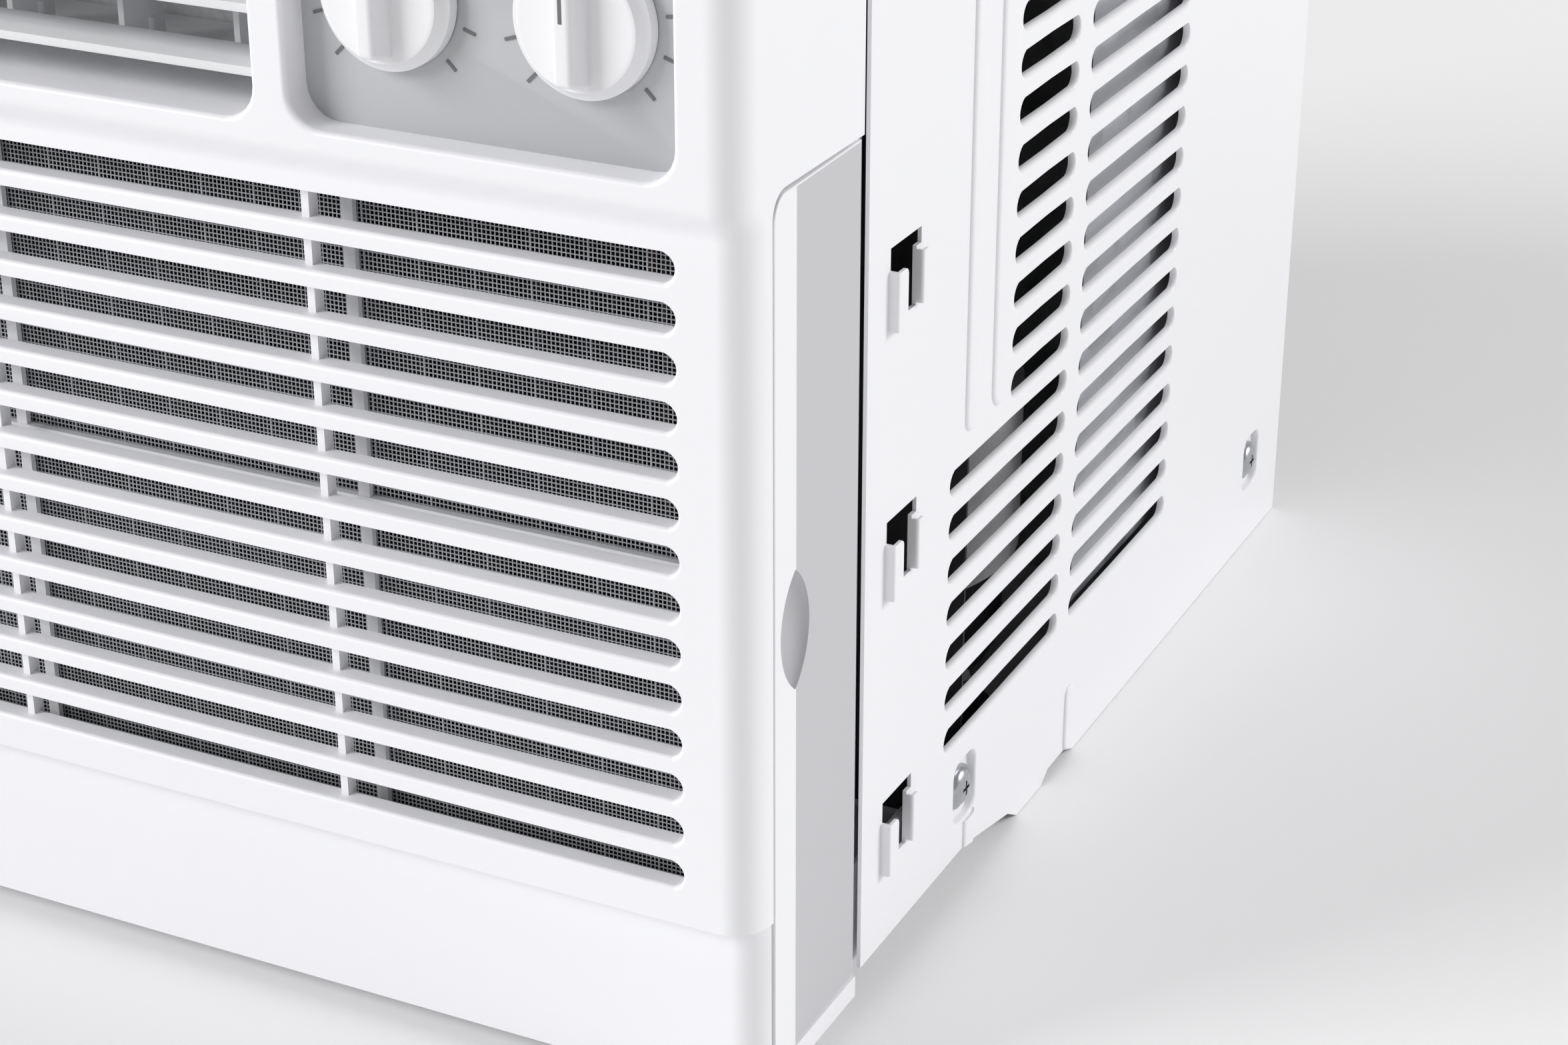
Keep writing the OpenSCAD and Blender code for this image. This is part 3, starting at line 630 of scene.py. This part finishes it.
def front_cover():
    """Plastic front: swollen upper zone, recessed chin, slots, windows, ribs and skirt."""
    cover = block("front_cover", (-COVER_SIDE, GRILLE_FACE, COVER_BASE),
                  (COVER_SIDE, COVER_REAR, COVER_TOP))
    swell_loops = [SWELL[0] + i * (SWELL[1] - SWELL[0]) / 8 for i in range(9)]
    with Shaping(cover) as s:
        for z in [CHIN_TOP - 1.2, CHIN_TOP] + swell_loops:
            s.slice("z", z)
        s.corners(lambda p: p.y < GRILLE_FACE + 1 and p.z < CHIN_TOP - 1)
        s.move(y=CHIN_FACE - GRILLE_FACE)
        for z in swell_loops[1:]:
            t = (z - SWELL[0]) / (SWELL[1] - SWELL[0])
            high = COVER_TOP + 1 if z == swell_loops[-1] else z + 0.5
            s.corners(lambda p: p.y < GRILLE_FACE + 1 and z - 0.5 < p.z < high)
            s.move(y=(UPPER_FACE - GRILLE_FACE) * t * t * (3 - 2 * t))
        s.edges(lambda a, b: abs(a.x + b.x) > 2 * COVER_SIDE - 0.1 and max(a.y, b.y) < -180)
        s.round_over(CORNER, 7)
        s.edges(lambda a, b: min(a.z, b.z) > COVER_TOP - 0.1 and min(a.y, b.y) < COVER_REAR - 1)
        s.round_over(6, 5)
        s.faces(lambda c, n: n.y > 0.9 and c.y > COVER_REAR - 1)
        bpy.ops.mesh.delete(type="FACE")
    modify(cover, "SOLIDIFY", thickness=COVER_WALL * MM, offset=-1, use_even_offset=True)

    low = INTAKE_TOP - INTAKE_HIGH - (INTAKE_COUNT - 1) * INTAKE_PITCH
    add(cover, block("bars", (-189, GRILLE_FACE + 1.5, low - 4), (189, BAR_BACK, INTAKE_TOP + 2)))
    for x, back in ((OUTLET_X, -186), (CONTROL_X, DIAL_FACE)):
        add(cover, rounded_block("rim", "y",
                                 (x[0] - COVER_WALL, UPPER_FACE + 1, WINDOW_Z[0] - COVER_WALL),
                                 (x[1] + COVER_WALL, back, WINDOW_Z[1] + COVER_WALL),
                                 WINDOW_ROUND + COVER_WALL))

    first = long_slot("slots", "y", "x", (0, 0, INTAKE_TOP - INTAKE_HIGH / 2), BAR_BACK + 1,
                      GRILLE_FACE, INTAKE_HIGH / 2, 2 * INTAKE_HALF, (1.2, 0.8, 0.64), 28)
    slots = [first] + [again(first, -i * INTAKE_PITCH) for i in range(1, INTAKE_COUNT)]
    cut(cover, join(slots))
    cut(cover, window_cutter("outlet_window", OUTLET_X))
    cut(cover, window_cutter("control_window", CONTROL_X))

    opening = block("opening", (COVER_SIDE - 4, HANDLE_Y, HANDLE_Z[0] - 0.3),
                    (COVER_SIDE + 2, COVER_REAR + 3, HANDLE_Z[1] + 0.3))
    with Shaping(opening) as s:
        s.edges(lambda a, b: max(a.y, b.y) < HANDLE_Y + 1 and min(a.z, b.z) > HANDLE_Z[1] - 1)
        s.round_over(6, 8)
    cut(cover, opening)
    cut(cover, rod("cord_hole", "x", (-COVER_SIDE - 1, -166, 24), 5, 7))

    # Ribs behind the bars and the skirt that plugs into the cabinet
    ribs = [block("rib", (x - 1, GRILLE_FACE + 3.2, low - 2), (x + 1, BAR_BACK + 1.5, INTAKE_TOP + 2))
            for x in (-93, 0, 93)]
    for rib in ribs:
        add(cover, rib)
    side = COVER_SIDE - COVER_WALL + 0.1
    skirt = rounded_block("skirt", "y", (-side, -139, COVER_BASE + 6), (side, -129, COVER_TOP - 2.4), 3)
    with Shaping(skirt) as s:
        s.slice("y", COVER_REAR - 0.6)
        s.corners(lambda p: p.y > COVER_REAR - 1)
        s.stretch((1 - 1.5 / side, 1, 1), (0, 0, 0))
    cut(skirt, block("inside", (-side + 3, -140, COVER_BASE - 1), (side - 3, -128, COVER_TOP - 4.5)))
    add(cover, skirt)
    smooth(cover, 32, True)
    return finished(cover, "chassis", "panel_plastic", "front_panel", "front_surround", "intake_grille")


# ---------------------------------------------------------------- filter


def finger_scoop():
    """Cutter for the almond-shaped finger recess, creased along its middle."""
    halves = []
    for side in (-1, 1):
        deselect()
        bpy.ops.mesh.primitive_uv_sphere_add(
            segments=64, ring_count=48, radius=SCOOP_RADIUS * MM,
            location=(SCOOP[0] * MM, (SCOOP[1] + side * SCOOP_OFFSET) * MM, SCOOP[2] * MM))
        ball = bpy.context.object
        ball.scale.x = SCOOP_FLATNESS
        halves.append(settle(ball))
    return combine(halves[0], halves[1], "INTERSECT")


def in_scoop(y, z):
    """Whether a point of the handle's side lies within the almond outline."""
    return all(math.hypot(y - SCOOP[1] - side * SCOOP_OFFSET, z - SCOOP[2]) < SCOOP_RADIUS
               for side in (-1, 1))


def filter_slide():
    """Frame of the filter with its ribs and the handle that closes the side of the front."""
    y0, y1 = FILTER_Y
    low, high = FILTER_Z[0] - FRAME_WIDTH, FILTER_Z[1] + FRAME_WIDTH
    frame_ring = block("filter_frame_piece", (FILTER_X[0] - FRAME_WIDTH, y0, low),
                       (COVER_SIDE - 3.5, y1, high))
    cut(frame_ring, block("open", (FILTER_X[0], y0 - 1, FILTER_Z[0]), (FILTER_X[1], y1 + 1, FILTER_Z[1])))
    add(frame_ring, block("rib", (FILTER_X[0] - 5, y0, 131), (FILTER_X[1] + 4, y0 + 2, 137.7)))
    for x in (-98, 0, 98):
        add(frame_ring, block("rib", (x - 1.5, y0 + 0.2, low + 2), (x + 1.5, y0 + 1.8, high - 2)))
    handle = block("handle", (COVER_SIDE - 2.1, HANDLE_Y + HANDLE_GAP, HANDLE_Z[0]),
                   (COVER_SIDE, COVER_REAR, HANDLE_Z[1] - HANDLE_GAP))
    with Shaping(handle) as s:
        s.slice("y", HANDLE_CREASE)
        s.corners(lambda p: p.x > COVER_SIDE - 0.1 and p.y > COVER_REAR - 1)
        s.move(x=-0.6)
        s.edges(lambda a, b: max(a.y, b.y) < HANDLE_Y + 2 and min(a.z, b.z) > HANDLE_Z[1] - 2)
        s.round_over(6, 8)
        s.edges(lambda a, b: min(a.x, b.x) > COVER_SIDE - 0.9
                and max(abs(a.y - HANDLE_CREASE), abs(b.y - HANDLE_CREASE)) > 0.05)
        s.round_over(0.35, 3)
    add(handle, block("boss", (COVER_SIDE - 6, y1 - 3, 104), (COVER_SIDE - 1, y1 + 15, 140)))
    cut(handle, finger_scoop())
    add(frame_ring, handle)
    smooth(frame_ring, 32, True)
    finished(frame_ring, "filter", "filter_plastic", "filter_frame")
    # The faces inside the finger recess get the painted-shade grey
    frame_ring.data.materials.append(painted_shade_recess)
    for face in frame_ring.data.polygons:
        centre = face.center / MM
        if face.normal.x > 0.02 and centre.x > COVER_SIDE - 6 and in_scoop(centre.y, centre.z):
            face.material_index = 1
    return frame_ring


def filter_screen():
    """Woven screen: fine strands both ways, with a heavier one at every thirteenth."""
    pitch, half, every = 1.1, 0.115, 13
    (x0, x1), (z0, z1) = FILTER_X, FILTER_Z
    y = (FILTER_Y[0] + FILTER_Y[1]) / 2
    upright = block("strand", (x0 + 0.4 - half, y - half, z0), (x0 + 0.4 + half, y + half, z1))
    modify(upright, "ARRAY", count=int((x1 - x0) / pitch), use_relative_offset=False,
           use_constant_offset=True, constant_offset_displace=(pitch * MM, 0, 0))
    level = block("strand", (x0, y - 0.12, z0 + 0.6 - half), (x1, y + 0.12, z0 + 0.6 + half))
    modify(level, "ARRAY", count=int((z1 - z0) / pitch), use_relative_offset=False,
           use_constant_offset=True, constant_offset_displace=(0, 0, pitch * MM))
    heavy = block("strand", (x0 + 0.4 - 0.2, y - 0.2, z0), (x0 + 0.4 + 0.2, y + 0.2, z1))
    modify(heavy, "ARRAY", count=int((x1 - x0) / (every * pitch)), use_relative_offset=False,
           use_constant_offset=True, constant_offset_displace=(every * pitch * MM, 0, 0))
    screen = join([upright, level, heavy])
    screen.name = "filter_screen"
    return finished(screen, "filter", "filter_mesh", "filter_mesh")


# ---------------------------------------------------------------- controls


def turning_knob(name, x, body, node):
    """Round knob with a stepped face, a raised grip and a pointer line."""
    knob = rod(name, "y", (x, -191.2, KNOB_Z), 2.9, KNOB_RADIUS, 96)
    with Shaping(knob) as s:
        s.faces(lambda c, n: n.y < -0.9)
        bpy.ops.mesh.inset(thickness=1.2 * MM, depth=0)
        s.move(y=-0.9)
        bpy.ops.mesh.inset(thickness=1.0 * MM, depth=0)
        s.move(y=-1.6)
        bpy.ops.mesh.inset(thickness=0.8 * MM, depth=0)
        s.move(y=-0.3)
    grip = block("grip", (x - 3.2, -199.9, KNOB_Z - 13), (x + 3.2, -193, KNOB_Z + 13))
    with Shaping(grip) as s:
        s.faces(lambda c, n: n.y < -0.9)
        s.stretch((0.7, 1, 0.86), (x, -199.9, KNOB_Z))
        s.edges(lambda a, b: min(a.y, b.y) < -193.5)
        s.round_over(1.2, 4)
    add(knob, grip)
    add(knob, rod("stem", "y", (x, -191, KNOB_Z), 19, 3, 24))
    smooth(knob, 35, True)
    finished(knob, body, "knob_plastic", node)
    line = edged(name + "_pointer", (x - 0.5, -199.98, KNOB_Z + 2), (x + 0.5, -199.2, KNOB_Z + 10), 0.15)
    finished(line, body, "knob_plastic", material=FINISHES["motor_steel"])


def dial_marks():
    """Short raised ticks round both knobs."""
    ticks = []
    for x in KNOB_X:
        for i in range(11):
            turn = math.radians(-135 + 27 * i)
            tick = block("tick", (x - 0.35, DIAL_FACE - 0.25, KNOB_Z + KNOB_RADIUS + 2),
                         (x + 0.35, DIAL_FACE + 0.1, KNOB_Z + KNOB_RADIUS + 5))
            centre = Matrix.Translation((x * MM, 0, KNOB_Z * MM))
            tick.data.transform(centre @ Matrix.Rotation(turn, 4, "Y") @ centre.inverted())
            ticks.append(tick)
    marks = join(ticks)
    marks.name = "dial_marks"
    return finished(marks, "chassis", "control_grey", material=FINISHES["motor_steel"])


# ---------------------------------------------------------------- cabinet


def pan_cutter(lift):
    """Everything below the wavy lower edge of the pan."""
    cutter = block("below", (-215, PAN_LINE[0][0], -30), (215, 230, 0))
    with Shaping(cutter) as s:
        for y, _ in PAN_LINE[1:]:
            s.slice("y", y)
        for y, z in PAN_LINE:
            s.corners(lambda p: p.z > -1 and abs(p.y - y) < 0.05)
            s.move(z=z + lift)
        s.corners(lambda p: p.z > -1 and p.y > 220)
        s.move(z=lift)
    return cutter


def side_slots():
    """Cutters for the louvres of the right side: crisp above, rolled in below."""
    x_in, x_out = CABINET_SIDE - 4, CABINET_SIDE
    lip = (1.5, 0.8, 0.7)
    made = []

    for (front, rear), rows in ((FRONT_LOUVRES, range(LONG_ROWS)),
                                (UPPER_LOUVRES, range(LONG_ROWS, LOUVRE_ROWS)),
                                (REAR_LOUVRES, range(LOUVRE_ROWS))):
        middle = (0, (front + rear) / 2, LOUVRE_TOP - LOUVRE_RADIUS)
        first = long_slot("louvre", "x", "y", middle, x_in, x_out, LOUVRE_RADIUS, rear - front, lip, 20)
        made += [again(first, LOUVRE_PITCH * row) for row in rows]
        bpy.data.objects.remove(first)
    return join(made)


def hook_pair(z):
    """Two bent tabs at a hook opening, hooked towards the rear."""
    low = z - HOOK_HIGH - 1.3
    tip = CABINET_SIDE + HOOK_OUT
    front = block("tab", (CABINET_SIDE - SHEET, HOOK_Y[0] - TAB, low), (tip, HOOK_Y[0], low + 14.5))
    with Shaping(front) as s:
        s.slice("x", tip - TAB)
        s.faces(lambda c, n: n.y > 0.9 and c.x > tip - 0.7)
        s.pull(y=4.4)
        s.edges(lambda a, b: min(a.x, b.x) > tip - 0.1 and max(a.y, b.y) < HOOK_Y[0] - 0.7)
        s.round_over(1.0, 4)
        s.edges(lambda a, b: min(a.y, b.y) > -115 and min(a.z, b.z) > low + 14)
        s.round_over(1.6, 4)
    rear = block("tab", (CABINET_SIDE - SHEET, HOOK_Y[1], low + 2), (tip - 0.6, HOOK_Y[1] + TAB, low + 15))
    with Shaping(rear) as s:
        s.slice("x", tip - 1.4)
        s.faces(lambda c, n: n.y > 0.9 and c.x > tip - 1.3)
        s.pull(y=1.8)
        s.edges(lambda a, b: min(a.x, b.x) > tip - 0.7 and max(a.y, b.y) < HOOK_Y[1] + 0.1)
        s.round_over(0.8, 4)
    return [front, rear]


def raised_bead(y0, y1, z0, z1, height):
    """Pressed bead that stands proud of the side sheet, with soft edges."""
    radius = (y1 - y0) / 2
    centre_y = (y0 + y1) / 2
    thing = rod("bead", "x", (CABINET_SIDE - 0.7, centre_y, z0 + radius), 0.7, radius, 24)
    with Shaping(thing) as s:
        s.faces(lambda c, n: n.x > 0.9)
        size, gone = radius, 0
        for step in range(1, 6):
            angle = step / 5 * math.pi / 2
            smaller = radius - height * 1.6 * (1 - math.cos(angle))
            out = height * math.sin(angle)
            s.pull(x=out - gone)
            s.stretch((1, smaller / size, smaller / size), (CABINET_SIDE, centre_y, z0 + radius))
            size, gone = smaller, out
        s.corners(lambda p: p.z > z0 + radius + 0.01)
        s.move(z=z1 - z0 - 2 * radius)
    return thing


def cabinet_shell():
    """Steel wrapper with its louvres, curtain hooks, beads, screw pockets and rear flange."""
    shell = block("cabinet_shell", (-CABINET_SIDE, CABINET_FRONT, -20),
                  (CABINET_SIDE, CABINET_REAR, CABINET_TOP))
    with Shaping(shell) as s:
        s.edges(lambda a, b: abs(a.y - b.y) > 100 and min(a.z, b.z) > CABINET_TOP - 1)
        s.round_over(6, 6)
        s.faces(lambda c, n: abs(n.y) > 0.9 or n.z < -0.9)
        bpy.ops.mesh.delete(type="FACE")
    modify(shell, "SOLIDIFY", thickness=SHEET * MM, offset=-1, use_even_offset=True)
    # Backing for the rolled louvre edges, then the pockets and beads
    right = block("field", (CABINET_SIDE - 2, -85, 40), (CABINET_SIDE - 0.5, 88, 126.5))
    add(right, block("field", (CABINET_SIDE - 2, -45, 126), (CABINET_SIDE - 0.5, 88, 259)))
    for y, z in SCREW_SPOTS:
        add(right, rounded_block("pocket", "x",
                                 (POCKET_FLOOR - SHEET, y - POCKET[0] - 1, z - POCKET[1] - 1),
                                 (CABINET_SIDE - 0.5, y + POCKET[0] + 1, z + POCKET[1] + 1), 5))
    for bead in BEADS:
        add(right, raised_bead(*bead))
    left = other_side(right)
    add(shell, right)
    add(shell, left)

    right_holes = side_slots()
    x0, x1 = CABINET_SIDE - 4, CABINET_SIDE + 1
    for z in HOOK_TOPS:
        add(right_holes, block("hole", (x0, HOOK_Y[0], z - HOOK_HIGH), (x1, HOOK_Y[1], z)))
        add(right_holes, block("notch", (x0, HOOK_Y[1] - 0.1, z - 4), (x1, HOOK_Y[1] + 2.7, z)))
    for y, z in SCREW_SPOTS:
        pocket = rounded_block("pocket", "x", (POCKET_FLOOR, y - POCKET[0], z - POCKET[1]),
                               (CABINET_SIDE - SHEET, y + POCKET[0], z + POCKET[1]), 4)
        flare(pocket, "x", 1, SHEET, POCKET, 0.9, 0)
        add(right_holes, pocket)
        add(right_holes, rod("screw_hole", "x", (195, y, z), 8, 2.1, 16))
    left_holes = other_side(right_holes)
    cut(shell, right_holes)
    cut(shell, left_holes)
    for x in (-150, 150):
        cut(shell, rod("rail_hole", "z", (x, -100, CABINET_TOP - 4), 8, 2.2, 24))

    rear = rounded_block("rear", "y", (-CABINET_SIDE + 0.4, CABINET_REAR - 1, 0.4),
                         (CABINET_SIDE - 0.4, CABINET_REAR, CABINET_TOP - 0.4), 5.6)
    cut(rear, rounded_block("open", "y", (-CABINET_SIDE + 9, CABINET_REAR - 3, -9),
                            (CABINET_SIDE - 9, CABINET_REAR + 2, CABINET_TOP - 8), 5))
    add(shell, rear)
    cut(shell, pan_cutter(0.2))
    for z in HOOK_TOPS:
        for tab in hook_pair(z):
            twin = other_side(tab)
            add(shell, tab)
            add(shell, twin)
    smooth(shell, 32, True)
    return finished(shell, "chassis", "cabinet_paint", "cabinet")


def side_screws():
    """Pan-head screws with a cross recess and a washer face."""
    heads = []
    for y, z in SCREW_SPOTS:
        head = rod("screw", "x", (POCKET_FLOOR, y, z), 0.7, 6.2, 48)
        with Shaping(head) as s:
            s.faces(lambda c, n: n.x > 0.9)
            bpy.ops.mesh.inset(thickness=0.9 * MM, depth=0)
            dome = 5.3
            size, gone = dome, 0
            for step in range(1, 6):
                angle = step / 6 * math.pi / 2
                smaller, out = dome * math.cos(angle) ** 0.8, 2.1 * math.sin(angle)
                s.pull(x=out - gone)
                s.stretch((1, smaller / size, smaller / size), (POCKET_FLOOR + 0.7, y, z))
                size, gone = smaller, out
        for turn in ((2.1, 0.45), (0.45, 2.1)):
            cut(head, block("cross", (201.2, y - turn[0], z - turn[1]), (204, y + turn[0], z + turn[1])))
        add(head, rod("shank", "x", (193, y, z), 7, 1.9, 20))
        heads += [head, other_side(head)]
    screws = join(heads)
    screws.name = "side_screws"
    smooth(screws, 35)
    return finished(screws, "chassis", "zinc_fastener", "cabinet_screws")


# ---------------------------------------------------------------- coils


def fin_stack(name, node, pitch, material, slot):
    """Thin fins along a coil, with an end plate at each side."""
    low, high = box_mm(node)
    side = high.x - 1.2
    depth = (low.y + 1, high.y - 1)
    fin = block("fin", (-side + 1, depth[0], low.z), (-side + 1.18, depth[1], high.z - 1))
    with Shaping(fin) as s:
        for i in range(1, 6):
            s.slice("y", depth[0] + (depth[1] - depth[0]) * i / 6)
        for i in (1, 3, 5):
            y = depth[0] + (depth[1] - depth[0]) * i / 6
            s.corners(lambda p: abs(p.y - y) < 0.05)
            s.move(x=0.4)
    modify(fin, "ARRAY", count=int((2 * side - 2) / pitch), use_relative_offset=False,
           use_constant_offset=True, constant_offset_displace=(pitch * MM, 0, 0))
    plates = [edged("plate", (end * side - 0.6 + end * 0.6, low.y, low.z),
                    (end * side + 0.6 + end * 0.6, high.y, high.z), 0.2) for end in (-1, 1)]
    stack = join([fin] + plates)
    stack.name = name
    return finished(stack, "chassis", slot, node, material=material)


front_cover()
filter_slide()
filter_screen()
turning_knob("mode_dial", KNOB_X[0], "mode_knob", "mode_knob")
turning_knob("temperature_dial", KNOB_X[1], "temperature_knob", "temperature_knob")
dial_marks()
cabinet_shell()
side_screws()
# Evaporator fins get the near-black painted-shade finish
fin_stack("evaporator_stack", "evaporator_fins", 1.9, painted_shade_coil, "fin_aluminium")
fin_stack("condenser_stack", "condenser_fins", 2.2, FINISHES["fin_aluminium"], "fin_aluminium")

# ---------------------------------------------------------------- CAD pieces with softened edges
SOFTENED = {
    "outlet_frame": ("outlet_surround", 0.5, "vane_plastic"),
    "control_plate": ("control_face", 0.4, "control_grey"),
    "vane_link": ("vane_link_bar", 0.25, "vane_plastic"),
    "deflector_link": ("deflector_link_bar", 0.25, "vane_plastic"),
    "rear_guard": ("rear_grille", 0.35, "guard_paint"),
    "base_pan": ("pan_tray", 0.3, "pan_steel"),
    "motor_bracket": ("motor_stand", 0.4, "galvanised"),
    "control_box": ("control_case", 0.3, "galvanised"),
    "drip_tray": ("drip_pan", 0.4, "duct_foam"),
    "capacitor_strap": ("capacitor_band", 0.2, "galvanised"),
}
for i in range(1, 5):
    SOFTENED[f"outlet_vane_{i}"] = (f"vane_blade_{i}", 0.7, "vane_plastic")
for i in range(1, 9):
    SOFTENED[f"deflector_{i}"] = (f"deflector_blade_{i}", 0.35, "vane_plastic")
node_body = {n: body for body, nodes in frame["record"]["behaviour"]["bodies"].items() for n in nodes}
for node, (name, width, slot) in SOFTENED.items():
    finished(soften(node, name, width), node_body[node], slot, node)

# ---------------------------------------------------------------- finishes of the other CAD pieces
CARRIED = {
    "rotary_switch": "switch_body", "thermostat": "galvanised", "sensing_bulb": "copper",
    "bulkhead": "galvanised", "air_duct": "duct_foam", "outlet_duct": "duct_foam",
    "blower_inlet_plate": "duct_foam",
    "blower_wheel": "fan_plastic", "motor_shaft": "shaft_steel", "fan_motor": "motor_steel",
    "condenser_fan": "fan_plastic", "fan_shroud": "galvanised", "condenser_tubes": "copper",
    "evaporator_tubes": "copper", "compressor": "compressor_paint", "compressor_jacket": "felt",
    "compressor_grommets": "rubber", "compressor_bolts": "zinc_fastener",
    "compressor_nuts": "zinc_fastener", "terminal_cover": "compressor_paint",
    "accumulator": "compressor_paint", "suction_pipes": "copper",
    "discharge_pipe": "copper", "capillary_tube": "copper", "capacitor": "motor_steel",
    "motor_leads": "lead_sleeve", "cord_grommet": "rubber",
}
for node, slot in CARRIED.items():
    piece = frame["nodes"][node]
    piece.data.materials.clear()
    # Pipes inside the unit and the bulkhead get near-black finishes: painted shade
    material = painted_shade_copper if node in PAINTED_SHADE_COPPER else painted_shade_zinc if node == "bulkhead" else FINISHES[slot]
    piece.data.materials.append(material)

# ---------------------------------------------------------------- stage, light and camera


def stage_finish():
    """Plain pale floor with a very faint unevenness."""
    f = Finish("pale_floor")
    tone = f.cloud(3, 2, 0.5)
    f.set(Base_Color=f.blend(tone, (0.965, 0.965, 0.97, 1), (0.98, 0.98, 0.985, 1)),
          Roughness=tone * 0.05 + 0.85)
    return f.material


deselect()
bpy.ops.mesh.primitive_plane_add(size=14, location=(0, 0, 0))
floor = bpy.context.object
floor.name = "floor"
floor.data.materials.append(stage_finish())


def softbox(name, azimuth, elevation, distance, size, power):
    """Square area light that looks at the unit from a compass side; azimuth 0 is the front."""
    a, e = math.radians(azimuth), math.radians(elevation)
    back = Vector((math.sin(a) * math.cos(e), -math.cos(a) * math.cos(e), math.sin(e)))
    data = bpy.data.lights.new(name, "AREA")
    data.shape, data.size, data.energy = "SQUARE", size, power
    lamp = bpy.data.objects.new(name, data)
    lamp.location = Vector((0, 0, 0.15)) + back * distance
    lamp.rotation_mode = "QUATERNION"
    lamp.rotation_quaternion = (-back).to_track_quat("-Z", "Y")
    bpy.context.scene.collection.objects.link(lamp)


softbox("front_left_box", -45, 26, 6.0, 2.8, 240)
softbox("rear_right_box", 120, 26, 6.0, 2.8, 196)

world = bpy.data.worlds.new("studio")
world.use_nodes = True
bpy.context.scene.world = world
background = world.node_tree.nodes["Background"]
background.inputs[0].default_value = (1, 1, 1, 1)
background.inputs[1].default_value = 0.38

view = bpy.context.scene.view_settings
view.view_transform = "Standard"
view.look = "None"
view.exposure = 0

lens = bpy.data.cameras.new("camera")
lens.lens, lens.sensor_width = 71.287, 36
lens.clip_start, lens.clip_end = 0.01, 50
camera = bpy.data.objects.new("camera", lens)
camera.location = (0.46898, -0.72176, 0.43165)
camera.rotation_euler = (math.radians(90 - 24.84), 0, math.radians(25.98))
bpy.context.scene.collection.objects.link(camera)
bpy.context.scene.camera = camera

deselect()
